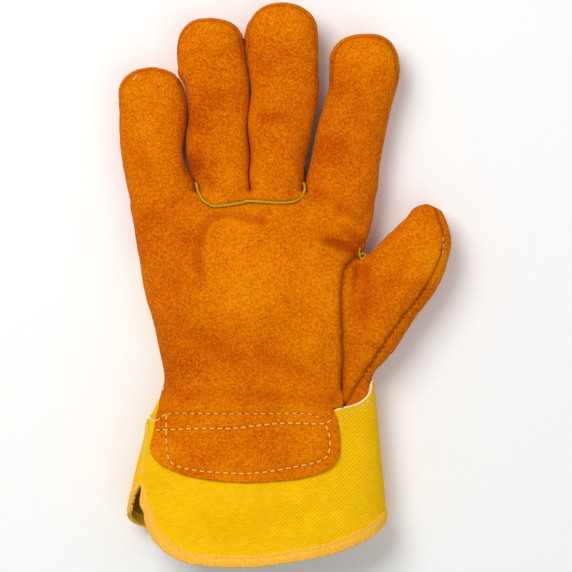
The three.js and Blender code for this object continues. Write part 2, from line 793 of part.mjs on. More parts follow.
// The back of one finger, between two gap lines, folded over its tip.
function fingerBack(leftGap, rightGap) {
  const low = knuckleStrapTop + 0.5 * gap;
  const heights = Array.from({ length: 9 }, (_, i) => low + (i * 1.09 * fingerReach) / 8);
  const left = heights.map((y) => [leftGap ? edgeX(leftGap, y) + 0.5 * gap : -farAway, y]);
  const right = heights.map((y) => [rightGap ? edgeX(rightGap, y) - 0.5 * gap : farAway, y]).reverse();
  const region = leftGap || rightGap ? prism([...left, ...right]) : span(knuckleStrapTop, farAway);
  return tuckedShell.intersect(region).subtract(frontsGrown).subtract(stripsGrown);
}

// The knuckle strap and the drill back lie across the hand; the drill comes round its edge at the wrist.
const strapLow = knuckleStrapTop - knuckleStrapWidth;
const wristSide = prism([
  ...beside(seamPoints(flapEdge), -gap).filter(([x, y]) => x < 0 && y > heightUp(-1.15)),
  [-farAway, heightUp(-1.15)],
  [-farAway, heightUp(-0.87) - gap],
]);
const knuckleStrap = tuckedShell
  .intersect(backSide)
  .intersect(handRegion)
  .intersect(span(strapLow, knuckleStrapTop - 0.5 * gap));
const backHand = drillShell
  .intersect(backSide.add(wristSide))
  .intersect(handRegion)
  .intersect(span(-farAway, strapLow - gap));

// The cuff as a solid, grown or shrunk by a wall.
function cuffForm(grow) {
  const downs = [-0.25, -0.077, 0.051, 0.179, 0.34, 0.5, 0.72, 1.05];
  const rings = downs.map((down) => ringAcross(cuffSlice(cuffY(down)), cuffY(down), palmSides, grow));
  return solidOf(loft(rings.reverse()));
}

// The cuff's pattern grown by a distance: inside its rim and outside its slit.
function cuffPattern(grow) {
  const rim = (left) => {
    const points = beside(cuffPoints([...left, ...cuffRimRight]), -grow);
    return [...points, [farAway, 0], [-farAway, 0]];
  };
  const halfway = 0.56 * cuffHeight;
  const front = prism(rim(cuffRimLeftFront), halfway);
  const back = prism(rim(cuffRimLeftBack), -farAway, halfway);
  const edge = beside(slitEdge.map((row) => [cuffY(row.down), row.up * cuffHeight]), grow);
  return front.add(back).subtract(sidePrism(edge, -farAway, 0));
}

const cuffBand = cuffForm(0).subtract(cuffForm(-drill));
const belowTopEdge = prism([...cuffPoints(cuffTopEdge), [farAway, -farAway], [-farAway, -farAway]]);
const cuff = cuffBand.intersect(cuffPattern(0)).intersect(belowTopEdge);
const tapeOutside = cuffForm(gap + tape).subtract(cuffForm(-drill - gap - tape));
const tapeInside = cuffForm(gap).subtract(cuffForm(-drill - gap)).intersect(cuffPattern(gap));
const alongEdge = cuffPattern(gap + tape).subtract(cuffPattern(-tapeWidth));
const binding = tapeOutside.intersect(alongEdge).subtract(tapeInside).intersect(belowTopEdge);

const orangeLeather = { color: "#d9780f", roughness: 0.95, metalness: 0 };
const yellowDrill = { color: "#efbd05", roughness: 0.9, metalness: 0 };
const edgeTape = { color: "#f0a51c", roughness: 0.85, metalness: 0 };
const weltCord = { color: "#e9b91a", roughness: 0.85, metalness: 0 };

const pieces = [
  ["palm", palm, orangeLeather],
  ["middle_fingers_front", middleFront, orangeLeather],
  ["thumb_front", thumbFront, orangeLeather],
  ["thumb_back", thumbBack, orangeLeather],
  ["fourchette_little_ring", strips.little_ring, orangeLeather],
  ["fourchette_ring_middle", strips.ring_middle, orangeLeather],
  ["fourchette_middle_index", strips.middle_index, orangeLeather],
  ["little_back", fingerBack(null, littleRingGap), orangeLeather],
  ["ring_back", fingerBack(littleRingGap, ringMiddleGap), orangeLeather],
  ["middle_back", fingerBack(ringMiddleGap, middleIndexGap), orangeLeather],
  ["index_back", fingerBack(middleIndexGap, null), orangeLeather],
  ["knuckle_strap", knuckleStrap, orangeLeather],
  ["back_hand", backHand, yellowDrill],
  ["cuff", cuff, yellowDrill],
  ["cuff_binding", binding, edgeTape],
  ["finger_welt", cord(weltLine, weltDiameter), weltCord],
  ["thumb_welt", cord(thumbWeltLine, thumbWeltDiameter), weltCord],
];

const glove = new THREE.Group();
glove.name = "rigger_glove";
for (const [name, solid, look] of pieces) {
  const mesh = new THREE.Mesh(geometryOf(tidy(solid)), new THREE.MeshStandardMaterial(look));
  mesh.name = name;
  glove.add(mesh);
}

// The origin goes to the middle of the glove's box, on the floor.
const box = new THREE.Box3().setFromObject(glove);
const middle = box.getCenter(new THREE.Vector3());
for (const mesh of glove.children) mesh.geometry.translate(-middle.x, -middle.y, -box.min.z);

export default glove;
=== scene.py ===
import math

import bmesh
import bpy
import numpy as np
from mathutils import Matrix, Vector, noise
from mathutils.bvhtree import BVHTree
from mathutils.kdtree import KDTree


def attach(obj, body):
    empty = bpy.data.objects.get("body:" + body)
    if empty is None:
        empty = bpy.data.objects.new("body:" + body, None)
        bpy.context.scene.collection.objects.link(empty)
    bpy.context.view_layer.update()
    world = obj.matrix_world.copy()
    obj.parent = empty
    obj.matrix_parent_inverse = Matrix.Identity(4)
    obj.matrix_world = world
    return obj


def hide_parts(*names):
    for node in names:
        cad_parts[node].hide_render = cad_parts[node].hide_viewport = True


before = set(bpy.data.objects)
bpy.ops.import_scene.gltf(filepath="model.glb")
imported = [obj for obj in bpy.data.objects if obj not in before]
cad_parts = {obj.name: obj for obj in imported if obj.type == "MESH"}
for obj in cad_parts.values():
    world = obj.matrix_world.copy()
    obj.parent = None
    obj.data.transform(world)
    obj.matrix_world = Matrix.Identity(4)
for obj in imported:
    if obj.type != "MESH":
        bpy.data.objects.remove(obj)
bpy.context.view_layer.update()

# Sizes of the hand in millimetres. The hand is drawn with its origin at the crotch of the ring and middle
# fingers, fingers along +Y and thumb towards +X, and it is moved into the frame at the end.
MM = 0.001
palm_width = 119.0
palm_length = 106.0
finger_reach = 88.4
finger_lengths = {"little": 57.7, "ring": 81.2, "middle": 88.4, "index": 73.6}
tip_roundness = {"little": 2.15, "ring": 2.5, "middle": 2.35, "index": 2.45}
finger_thickness = 23.0
palm_thickness = 33.5
side_seam_height = 12.0
fingertip_lift = 5.0
thumb_length = 83.0
thumb_width = 35.8
thumb_thickness = 25.0
thumb_seam_height = 16.0
thumb_angle = math.radians(27.4)
thumb_tip = np.array((88.8, -8.1))
cuff_width = 123.0
cuff_length = 74.0
cuff_height = 41.0
cuff_seam_height = 17.0

# Materials and sewing, in millimetres.
leather = 1.4
drill = 1.1
tape = 0.7
tape_width = 5.6
welt_diameter = 1.25
sewn_gap = 0.3
seam_pull = 0.4
side_strip_low = 5.5
knuckle_strap_top = -4.0
knuckle_strap_width = 26.0
tip_lap = 1.7
side_lap = 1.8

# The skin's grain, how far apart the fingers are drawn so that the skin doesn't join them, how near to a cut
# a vertex counts as on it, and the height up to which the floor keeps the leather flat, in millimetres.
voxel = 0.8
drawn_apart = 2.6 * voxel
on_the_line = 0.1
near_floor = 1.2

# Where the hand's back ends inside the cuff, and where its drill begins under the palm on the little finger's
# side and on the thumb's, as shares of palm_length.
wrist_end = -1.11
drill_from_little = -0.888
drill_from_thumb = -0.95

# Edge curves from above: a share of finger_reach up a finger, or of palm_length below the crotch line
# (negative), then the place across and how far two fingers stand apart, both as shares of palm_width.
little_side = [(-1.06, -0.4), (-0.964, -0.378), (-0.911, -0.357), (-0.857, -0.343), (-0.786, -0.349),
               (-0.634, -0.38), (-0.455, -0.42), (-0.25, -0.454), (-0.054, -0.482), (0.124, -0.509),
               (0.366, -0.524), (0.6, -0.526)]
index_side = [(-1.06, 0.482), (-0.857, 0.466), (-0.554, 0.474), (-0.357, 0.462), (-0.286, 0.456),
              (-0.152, 0.486), (-0.009, 0.508), (0.129, 0.518), (0.301, 0.542), (0.473, 0.57),
              (0.591, 0.592), (0.7, 0.602)]
little_ring_gap = [(-0.25, -0.21, 0.004), (0.027, -0.219, 0.004), (0.097, -0.243, 0.004),
                   (0.194, -0.264, 0.013), (0.27, -0.261, 0.005), (0.376, -0.249, 0.002),
                   (0.473, -0.254, 0.002), (0.538, -0.269, 0.002), (0.602, -0.29, 0.002),
                   (0.667, -0.299, 0.002), (0.85, -0.299, 0.002)]
ring_middle_gap = [(-0.25, 0, 0.002), (0, 0, 0.002), (0.07, -0.006, 0.002), (0.161, 0, 0.002),
                   (0.333, -0.012, 0.002), (0.527, 0, 0.002), (0.71, -0.017, 0.002), (0.82, -0.028, 0.002)]
middle_index_gap = [(-0.25, 0.218, 0.006), (0.054, 0.22, 0.008), (0.129, 0.229, 0.02), (0.301, 0.255, 0.017),
                    (0.387, 0.27, 0.017), (0.473, 0.285, 0.028), (0.527, 0.294, 0.037), (0.656, 0.295, 0.039),
                    (0.9, 0.295, 0.04)]

# Thickness of a finger and height of the palm along the hand, as shares.
finger_swell = [(-0.25, 0.9), (-0.08, 1.06), (0.15, 1), (0.45, 0.96), (1, 0.86)]
palm_swell = [(-1.02, 0.98), (-0.95, 1.01), (-0.86, 0.97), (-0.7, 1), (-0.5, 1), (-0.33, 0.93), (-0.2, 0.86),
              (-0.12, 0.8), (-0.06, 0.7), (-0.02, 0.62)]

# The thumb from root to tip: share of thumb_length, then place across and width as shares of thumb_width,
# then share of thumb_thickness.
thumb_rows = [(0, -0.07, 0.72, 0.84), (0.143, -0.04, 0.85, 0.96), (0.286, -0.04, 0.9, 1),
              (0.4, -0.027, 0.95, 1.02), (0.514, 0, 1, 1.02), (0.629, 0.024, 0.968, 0.98),
              (0.743, 0.047, 0.851, 0.9), (0.857, 0.045, 0.681, 0.76), (0.943, -0.011, 0.449, 0.54),
              (0.985, -0.02, 0.22, 0.28)]

# The web between the thumb and the palm is a ball: its place as shares of palm_width and palm_length, then
# its height and radius in millimetres.
web_place = (0.452, -0.328)
web_height = 17
web_radius = 4.6

# The cuff down its length from the wrist seam: its left and right edges and its top, as shares of its width
# and height.
cuff_rows = [(-0.25, -0.343, 0.478, 0.77), (-0.077, -0.362, 0.483, 0.78), (0.051, -0.4, 0.493, 0.8),
             (0.179, -0.413, 0.5, 0.84), (0.436, -0.45, 0.514, 0.91), (0.641, -0.47, 0.525, 0.96),
             (1.05, -0.478, 0.532, 1)]


def smooth_rows(rows, place, column=1):
    """The value of a column at a place, smooth between the rows."""
    table = np.array(rows, dtype=float)
    at, value = table[:, 0], table[:, column]
    slope = np.gradient(value, at)
    x = np.clip(place, at[0], at[-1])
    i = np.clip(np.searchsorted(at, x) - 1, 0, len(at) - 2)
    width = at[i + 1] - at[i]
    t = (x - at[i]) / width
    low = (2 * t**3 - 3 * t**2 + 1) * value[i] + (t**3 - 2 * t**2 + t) * width * slope[i]
    return low + (3 * t**2 - 2 * t**3) * value[i + 1] + (t**3 - t**2) * width * slope[i + 1]


def share_up(y):
    return np.where(np.asarray(y) < 0, np.asarray(y) / palm_length, np.asarray(y) / finger_reach)


def height_up(share):
    return share * (palm_length if share < 0 else finger_reach)


def edge_x(rows, y):
    return palm_width * smooth_rows(rows, share_up(y))


def gap_edge(rows, y, side, least=0.0):
    apart = np.maximum(palm_width * smooth_rows(rows, share_up(y), 2), least)
    return edge_x(rows, y) + side * 0.5 * apart


def seam_height(y):
    return side_seam_height + fingertip_lift * np.maximum(0, np.asarray(y) / finger_reach) ** 2


# The gaps to the left and right of each finger. None stands for the hand's own edge.
finger_sides = {
    "little": (None, little_ring_gap),
    "ring": (little_ring_gap, ring_middle_gap),
    "middle": (ring_middle_gap, middle_index_gap),
    "index": (middle_index_gap, None),
}


def finger_left(name, y, least=0.0):
    gap = finger_sides[name][0]
    return edge_x(little_side, y) - seam_pull if gap is None else gap_edge(gap, y, 1, least)


def finger_right(name, y, least=0.0):
    gap = finger_sides[name][1]
    return edge_x(index_side, y) + seam_pull if gap is None else gap_edge(gap, y, -1, least)


def tip_start(name):
    length = finger_lengths[name]
    return length - 0.5 * float(finger_right(name, length) - finger_left(name, length))


def section(centre, half, middle, rise, drop, floor, roundness, count):
    """Points of a rounded section: across, up."""
    angle = np.arange(count) * 2 * math.pi / count
    c, s = np.cos(angle), np.sin(angle)
    power = 2 / roundness
    across = centre + np.sign(c) * np.abs(c) ** power * half
    up = middle + np.sign(s) * np.abs(s) ** power * np.where(s > 0, rise, drop)
    return across, np.maximum(up, floor)


def finger_width(name, y, apart=0.0):
    """Left and right edge of a finger at a place, tip included. The ring finger gives way to the little
    finger's tip."""
    start, length = tip_start(name), finger_lengths[name]
    body = min(y, start)
    left, right = float(finger_left(name, body, apart)), float(finger_right(name, body, apart))
    past = min(max((y - start) / (length - start), 0), 1)
    power = tip_roundness[name]
    drawn_in = 0.5 * (right - left) * (1 - (1 - past**power) ** (1 / power))
    left, right = left + drawn_in, right - drawn_in
    if name == "ring" and y < finger_lengths["little"]:
        left = max(left, finger_width("little", y, apart)[1] + apart)
    return left, right


def finger_ring(name, y, apart, count=56):
    start, length = tip_start(name), finger_lengths[name]
    left, right = finger_width(name, y, apart)
    past = min(max((y - start) / (length - start), 0), 1)
    thin = (1 - past**3) ** (1 / 3)
    thick = 0.5 * finger_thickness * float(smooth_rows(finger_swell, share_up(y)))
    half = max(0.5 * (right - left) - 0.12 * max(0, -y), 0.4)
    across, up = section(0.5 * (left + right), half, float(seam_height(y)), max(thick * thin, 0.4),
                         max(1.06 * thick * thin, 0.4), 0.0, 2.5, count)
    return [(x, y, z) for x, z in zip(across, up)]


def palm_ring(y, count=120):
    shoulder = 0.3 * max(0, y + 0.08 * palm_length)
    left = float(edge_x(little_side, y)) + shoulder - seam_pull
    right = float(edge_x(index_side, y)) - shoulder + seam_pull
    seam = float(seam_height(y))
    top = palm_thickness * float(smooth_rows(palm_swell, share_up(y)))
    across, up = section(0.5 * (left + right), 0.5 * (right - left), seam, top - seam, 1.06 * seam, 0.0, 2.6,
                         count)
    return [(x, y, z) for x, z in zip(across, up)]


def cuff_ring(y, grow=0.0, count=120):
    down = (-palm_length - y) / cuff_length
    left = cuff_width * float(smooth_rows(cuff_rows, down, 1))
    right = cuff_width * float(smooth_rows(cuff_rows, down, 2))
    rise = cuff_height * float(smooth_rows(cuff_rows, down, 3)) - cuff_seam_height
    floor = tape + sewn_gap
    across, up = section(0.5 * (left + right), 0.5 * (right - left) + grow, cuff_seam_height, rise + grow,
                         1.04 * (cuff_seam_height - floor) + grow, floor - grow, 2.2, count)
    return [(x, y, z) for x, z in zip(across, up)]


thumb_aim = np.array((math.sin(thumb_angle), math.cos(thumb_angle)))
thumb_across = np.array((thumb_aim[1], -thumb_aim[0]))


def thumb_ring(along, count=64):
    side, width, thick = (float(smooth_rows(thumb_rows, along, k)) for k in (1, 2, 3))
    centre = thumb_tip - thumb_aim * (1 - along) * thumb_length + thumb_across * side * thumb_width
    across, up = section(0, 0.5 * width * thumb_width, thumb_seam_height, 0.5 * thick * thumb_thickness,
                         0.5 * thick * thumb_thickness, 0.0, 2.5, count)
    return [(*(centre + thumb_across * x), z) for x, z in zip(across, up)]


def bridge(bm, rings):
    """Bridges closed rings of points, in millimetres, to an open tube, and gives the edges of each ring."""
    loops = []
    for points in rings:
        verts = [bm.verts.new([MM * float(c) for c in p]) for p in points]
        loops.append([bm.edges.new((v, verts[(i + 1) % len(verts)])) for i, v in enumerate(verts)])
    for first, second in zip(loops, loops[1:]):
        bmesh.ops.bridge_loops(bm, edges=first + second)
    return loops


def loft(bm, rings):
    """The same, closed at both ends."""
    loops = bridge(bm, rings)
    for end in (loops[0], loops[-1]):
        bmesh.ops.contextual_create(bm, geom=end)


def put_in_scene(name, data):
    thing = bpy.data.objects.new(name, data)
    bpy.context.scene.collection.objects.link(thing)
    return thing


def object_of(bm, name):
    """A smooth piece of its own from a bmesh."""
    for face in bm.faces:
        face.smooth = True
    mesh = bpy.data.meshes.new(name)
    bm.to_mesh(mesh)
    bm.free()
    return put_in_scene(name, mesh)


def give_wall(piece, thickness, **settings):
    """Cloth or leather of the given thickness, inward from the outside that was modelled."""
    wall = piece.modifiers.new("wall", "SOLIDIFY")
    wall.thickness = thickness * MM
    wall.offset = -1
    for key, value in settings.items():
        setattr(wall, key, value)


def applied(piece):
    """The piece with its modifiers made real."""
    depsgraph = bpy.context.evaluated_depsgraph_get()
    made = bpy.data.meshes.new_from_object(piece.evaluated_get(depsgraph), preserve_all_data_layers=True,
                                           depsgraph=depsgraph)
    piece.modifiers.clear()
    piece.data = made
    return piece


def hand_form(wrist):
    """The outside of the hand, filled, as one even skin."""
    bm = bmesh.new()
    places = [height_up(k) for k in np.linspace(-0.78, -0.02, 40)]
    rings = [palm_ring(y) for y in places]
    if wrist == "over":
        start = [cuff_ring(height_up(k), sewn_gap + leather) for k in np.linspace(-1.42, -1.01, 20)]
        start += [palm_ring(height_up(k)) for k in (-0.95, -0.92, -0.89, -0.86, -0.83, -0.8)]
    else:
        start = [cuff_ring(height_up(k), -drill - sewn_gap) for k in np.linspace(-1.14, -0.87, 14)]
    loft(bm, start + rings)
    for name in finger_sides:
        begin, length = tip_start(name), finger_lengths[name]
        heights = list(np.arange(-0.2 * palm_length, begin, 2.0))
        heights += [begin + (length - begin) * math.sin(k) for k in np.linspace(0, 0.5 * math.pi, 14)[:-1]]
        heights.append(length - 0.02)
        loft(bm, [finger_ring(name, y, drawn_apart) for y in heights])
    loft(bm, [thumb_ring(k) for k in np.linspace(-0.1, 0.985, 48)])
    web = Matrix.Translation(Vector((web_place[0] * palm_width, web_place[1] * palm_length, web_height)) * MM)
    bmesh.ops.create_uvsphere(bm, u_segments=24, v_segments=16, radius=web_radius * MM, matrix=web)
    bmesh.ops.recalc_face_normals(bm, faces=bm.faces)
    form = object_of(bm, "hand_form_" + wrist)
    remesh = form.modifiers.new("even_skin", "REMESH")
    remesh.mode = "VOXEL"
    remesh.voxel_size = voxel * MM
    applied(form)
    bm = bmesh.new()
    bm.from_mesh(form.data)
    for _ in range(5):
        bmesh.ops.smooth_vert(bm, verts=bm.verts, factor=0.5, use_axis_x=True, use_axis_y=True,
                              use_axis_z=True)
    bpy.data.objects.remove(form)
    return bm


def places_of(bm):
    return np.array([v.co for v in bm.verts]) / MM


def close_gaps(bm):
    """Brings the fingers back together to the gaps that they have."""
    points = places_of(bm)
    x, y = points[:, 0], points[:, 1]
    moved = np.zeros(len(x))
    order = list(finger_sides)
    for left_finger, right_finger in zip(order, order[1:]):
        reach = min(finger_lengths[left_finger], finger_lengths[right_finger])
        rows = []
        for at in np.arange(-6, reach, 1.0):
            near = finger_width(left_finger, at, drawn_apart)[1]
            far = finger_width(right_finger, at, drawn_apart)[0]
            real = finger_width(right_finger, at)[0] - finger_width(left_finger, at)[1]
            rows.append((at, 0.5 * (near + far), 0.5 * max(far - near - max(real, 0.1), 0)))
        rows = np.array(rows)
        from_middle = x - np.interp(y, rows[:, 0], rows[:, 1])
        pull = np.interp(y, rows[:, 0], rows[:, 2])
        pull *= np.clip((y + 4) / 4, 0, 1) * np.clip((reach - y) / 2, 0, 1)
        moved -= np.sign(from_middle) * pull * np.exp(-((from_middle / 6.0) ** 2))
    for vert, step in zip(bm.verts, moved):
        vert.co.x += step * MM


# Seams from above, in the same shares as the edge curves.
thumb_welt_line = [(-0.269, 0.439), (-0.291, 0.437), (-0.316, 0.443), (-0.316, 0.455), (-0.3025, 0.461),
                   (-0.2913, 0.453), (-0.298, 0.442)]
welt_line = [(0.032, -0.217), (-0.013, -0.207), (-0.049, -0.191), (-0.071, -0.167), (-0.083, -0.135),
             (-0.069, -0.04), (-0.06, 0), (-0.067, 0.1), (-0.065, 0.159), (-0.054, 0.191), (-0.031, 0.211),
             (0, 0.219), (0.032, 0.213)]
thumb_seam = [(-0.107, 0.566), (-0.277, 0.462), (-0.33, 0.406), (-0.375, 0.378), (-0.5, 0.367),
              (-0.679, 0.374), (-0.768, 0.378), (-0.879, 0.371), (-1.15, 0.378)]
thumb_lip = [(-0.084, 0.74), (-0.199, 0.771), (-0.292, 0.764), (-0.445, 0.702), (-0.591, 0.6),
             (-0.752, 0.504), (-0.9, 0.42), (-1, 0.36)]
flap_edge = [(-0.87, -0.35), (-0.95, -0.361), (-1.036, -0.376), (-1.112, -0.387), (-1.176, -0.395),
             (-1.233, -0.354), (-1.262, -0.293), (-1.287, -0.216), (-1.308, -0.026), (-1.296, 0.165),
             (-1.276, 0.256), (-1.246, 0.317), (-1.193, 0.355), (-1.085, 0.355), (-0.98, 0.331)]

# The same for the cuff: share of cuff_length below the wrist seam, then share of cuff_width across.
cuff_top_edge = [(0.02, -0.6), (0.02, -0.41), (0.05, -0.37), (0.05, 0.24), (-0.016, 0.325), (-0.052, 0.41),
                 (-0.098, 0.452), (-0.15, 0.468), (-0.2, 0.476), (-0.2, 0.6)]
cuff_rim_right = [(0.98, -0.03), (0.976, 0.03), (0.954, 0.131), (0.907, 0.298), (0.86, 0.382), (0.816, 0.45),
                  (0.772, 0.488), (0.728, 0.517), (0.68, 0.54), (0.6, 0.62)]
cuff_rim_left_front = [(0.56, -0.6), (0.615, -0.427), (0.714, -0.404), (0.81, -0.371), (0.86, -0.343),
                       (0.909, -0.306), (0.958, -0.23), (0.977, -0.119)]
cuff_rim_left_back = [(0.6, -0.6), (0.66, -0.485), (0.7, -0.468), (0.735, -0.445), (0.758, -0.41),
                      (0.785, -0.37), (0.85, -0.31), (0.92, -0.24), (0.974, -0.16)]

# The slit from the side: share of cuff_length down, then share of cuff_height up. Its top is where the first
# is least.
slit_edge = [(1.3, 0.44), (0.8, 0.45), (0.62, 0.51), (0.51, 0.58), (0.465, 0.625), (0.53, 0.645), (0.7, 0.65),
             (1.3, 0.65)]
slit_top = min(down for down, _ in slit_edge)
far_away = 400.0


def curve_through(points, step=1.5):
    """Points spaced evenly on a smooth curve through a few given ones."""
    points = np.array(points, dtype=float)
    padded = np.vstack((2 * points[0] - points[1], points, 2 * points[-1] - points[-2]))
    fine = []
    for a, b, c, d in zip(padded, padded[1:], padded[2:], padded[3:]):
        count = max(int(np.linalg.norm(c - b) / (0.25 * step)), 2)
        for t in np.arange(count) / count:
            fine.append(0.5 * (2 * b + (c - a) * t + (2 * a - 5 * b + 4 * c - d) * t**2
                               + (3 * b - a - 3 * c + d) * t**3))
    fine = np.array(fine + [points[-1]])
    run = np.concatenate(([0], np.cumsum(np.linalg.norm(np.diff(fine, axis=0), axis=1))))
    even = np.linspace(0, run[-1], max(int(run[-1] / step), 2) + 1)
    return np.stack([np.interp(even, run, fine[:, k]) for k in range(fine.shape[1])], axis=1)


def seam_points(rows, step=1.5):
    return curve_through([(x * palm_width, height_up(at)) for at, x in rows], step)


def cuff_points(rows, step=1.5):
    return curve_through([(x * cuff_width, -palm_length - down * cuff_length) for down, x in rows], step)


def beside(points, distance):
    """A line of points moved to its left."""
    run = np.gradient(points, axis=0)
    run /= np.linalg.norm(run, axis=1)[:, None]
    return points + distance * np.stack((-run[:, 1], run[:, 0]), axis=1)


def distance_to(line, x, y):
    """Distance of each place from an open line."""
    best = np.full(len(x), 1e9)
    for (ax, ay), (bx, by) in zip(line, line[1:]):
        dx, dy = bx - ax, by - ay
        if dx or dy:
            t = np.clip(((x - ax) * dx + (y - ay) * dy) / (dx * dx + dy * dy), 0, 1)
            best = np.minimum(best, (x - ax - t * dx) ** 2 + (y - ay - t * dy) ** 2)
    return np.sqrt(best)


def depth_inside(outline, x, y):
    """Distance of each place from a closed outline: positive inside it, negative outside."""
    outline = np.array([*outline, outline[0]], dtype=float)
    inside = np.zeros(len(x), dtype=bool)
    for (ax, ay), (bx, by) in zip(outline, outline[1:]):
        if ay != by:
            inside ^= ((ay > y) != (by > y)) & (x < (bx - ax) * (y - ay) / (by - ay) + ax)
    return np.where(inside, 1, -1) * distance_to(outline, x, y)


def gap_middle(left_finger, right_finger, y):
    """Middle of the gap between two fingers."""
    reach = min(finger_lengths[left_finger], finger_lengths[right_finger]) - 0.3
    y = min(y, reach)
    return 0.5 * (finger_width(left_finger, y)[1] + finger_width(right_finger, y)[0])


def finger_outline(name, low, outer_lap=1.0):
    """Outline of a finger's front: past its sides, where the seam is hidden, and a lap inside its tip."""
    start, length = tip_start(name), finger_lengths[name]
    order = list(finger_sides)
    place = order.index(name)
    heights = np.arange(low, start, 2.0)
    sides = []
    for step in (-1, 1):
        side = []
        for y in heights:
            edge = finger_width(name, y)[0 if step < 0 else 1]
            past = edge + step * outer_lap
            if 0 <= place + step < len(order):
                pair = (order[place + step], name) if step < 0 else (name, order[place + step])
                middle = gap_middle(*pair, y)
                past = max(past, middle) if step < 0 else min(past, middle)
            inside = edge - step * tip_lap
            blend = min(max((y - start + 12) / 12, 0), 1)
            side.append((past + (inside - past) * blend * blend * (3 - 2 * blend), y))
        sides.append(side)
    a, b = sides[0][-1][0], sides[1][-1][0]
    over = []
    power = 2 / tip_roundness[name]
    for angle in np.linspace(math.pi, 0, 24):
        c = math.cos(angle)
        across = math.copysign(abs(c) ** power, c)
        over.append((0.5 * (a + b) + 0.5 * (b - a) * across,
                     start + (length - tip_lap - start) * abs(math.sin(angle)) ** power))
    return sides[0] + over + sides[1][::-1]


def palm_outline():
    little = finger_outline("little", 4)
    index = finger_outline("index", 4)
    welt = beside(seam_points(welt_line), -0.3)
    thumb = seam_points(thumb_seam)
    thumb = thumb[thumb[:, 1] > height_up(-0.98)]
    flap = seam_points(flap_edge)[::-1]
    corner = [(-far_away, flap[-1][1]), (-far_away, 4)]
    return np.array([*little, *welt, *index, *thumb, *flap, *corner])


def middle_outline():
    ring = finger_outline("ring", 4)
    middle = finger_outline("middle", 4)
    welt = beside(seam_points(welt_line), 0.3)[::-1]
    crotch = (0.5 * (ring[-1][0] + middle[0][0]), 1)
    return np.array([*ring, crotch, *middle, *welt])


def thumb_outline():
    seam = seam_points(thumb_seam)
    seam = seam[seam[:, 1] > height_up(-0.93)]
    lip = seam_points(thumb_lip)[::-1]
    over_tip = [(0.7 * palm_width, height_up(-0.03)), (0.6 * palm_width, height_up(-0.04))]
    return np.array([*seam, *lip, *over_tip])


def thumb_side():
    return np.array([*seam_points(thumb_seam), (far_away, height_up(-1.2)), (far_away, 10), (78, 10)])


def strip_outline(left_finger, right_finger):
    """Outline of the strip between two fingers: up the side of each, and across the crotch."""
    left_end = tip_start(left_finger) + 0.3 * (finger_lengths[left_finger] - tip_start(left_finger))
    right_end = tip_start(right_finger) + 0.3 * (finger_lengths[right_finger] - tip_start(right_finger))
    heights = np.arange(-6, left_end, 3.0)
    near = [(finger_width(left_finger, y)[1] - side_lap, y) for y in heights]
    back = [(gap_middle(left_finger, right_finger, y), y) for y in heights[::-1] if y > 0]
    heights = np.arange(-6, right_end, 3.0)
    rise = [(gap_middle(left_finger, right_finger, y), y) for y in heights if y > 0]
    far = [(finger_width(right_finger, y)[0] + side_lap, y) for y in heights[::-1]]
    return np.array([*near, *back, *rise, *far])


strips = {
    "fourchette_little_ring": ("little", "ring"),
    "fourchette_ring_middle": ("ring", "middle"),
    "fourchette_middle_index": ("middle", "index"),
}
finger_backs = {"little_back": little_ring_gap, "ring_back": ring_middle_gap, "middle_back": middle_index_gap}
strap_low = knuckle_strap_top - knuckle_strap_width

# Rows of stitches on the flap, the thumb, the little finger's tip and the cuff, and the frayed threads at the
# cuff's corner, in the same shares as the edge curves.
stitch_rows = {
    "wrist_seam": [(-1.082, -0.377), (-1.08, -0.324), (-1.074, -0.232), (-1.072, -0.141), (-1.072, -0.064),
                   (-1.061, 0.012), (-1.052, 0.089), (-1.048, 0.165), (-1.052, 0.287), (-1.033, 0.325)],
    "upper_row": [(-1.011, -0.331), (-1.005, -0.256), (-1.007, -0.118), (-1.007, 0.012), (-1.005, 0.165),
                  (-1.009, 0.241), (-1.039, 0.295)],
    "flap_row": [(-1.013, -0.331), (-1.116, -0.331), (-1.2, -0.324), (-1.237, -0.293), (-1.257, -0.217),
                 (-1.266, -0.125), (-1.27, -0.018), (-1.262, 0.073), (-1.244, 0.165), (-1.216, 0.279),
                 (-1.179, 0.314), (-1.091, 0.314), (-1.044, 0.291)],
    "corner_row": [(-1.044, -0.375), (-1.008, -0.331)],
}
fine_rows = ("upper_row",)
thumb_row = [(-0.222, 0.768), (-0.262, 0.772), (-0.30, 0.766)]
lip_row = [(-0.45, 0.7), (-0.591, 0.602), (-0.752, 0.506), (-0.86, 0.444)]
little_tip_row = [(0.582, -0.464), (0.608, -0.447)]
bartack = [(-1.272, -0.436), (-1.272, -0.414)]
frayed_corner = [(-1.012, -0.4), (-1.03, -0.396), (-1.041, -0.386), (-1.046, -0.372)]
cuff_rows_sewn = {
    "wrist_seam": [(-1.04, 0.358), (-1.015, 0.385), (-0.995, 0.42), (-0.965, 0.46), (-0.941, 0.495)],
    "side_seam": [(-1.06, -0.41), (-1.15, -0.416), (-1.27, -0.428)],
}


# Each region says how far a place lies inside a panel, in millimetres, and is negative outside it.
def palm_region(x, y, z):
    return np.minimum(depth_inside(palm_outline(), x, y), z - seam_height(y))


def middle_region(x, y, z):
    return np.minimum(depth_inside(middle_outline(), x, y), z - seam_height(y))


def thumb_front_region(x, y, z):
    return np.minimum(depth_inside(thumb_outline(), x, y), z - thumb_seam_height)


def thumb_region(x, y, z):
    return depth_inside(thumb_side(), x, y)


def strip_region(name):
    outline = strip_outline(*strips[name])
    return lambda x, y, z: np.minimum(depth_inside(outline, x, y), z - side_strip_low)


def drill_side_region(x, y, z):
    flap = seam_points(flap_edge)
    edge = flap[(flap[:, 0] < 0) & (flap[:, 1] > height_up(-1.15))]
    outline = [*edge, (-far_away, height_up(-1.15)), (-far_away, edge[0][1])]
    return depth_inside(outline, x, y)


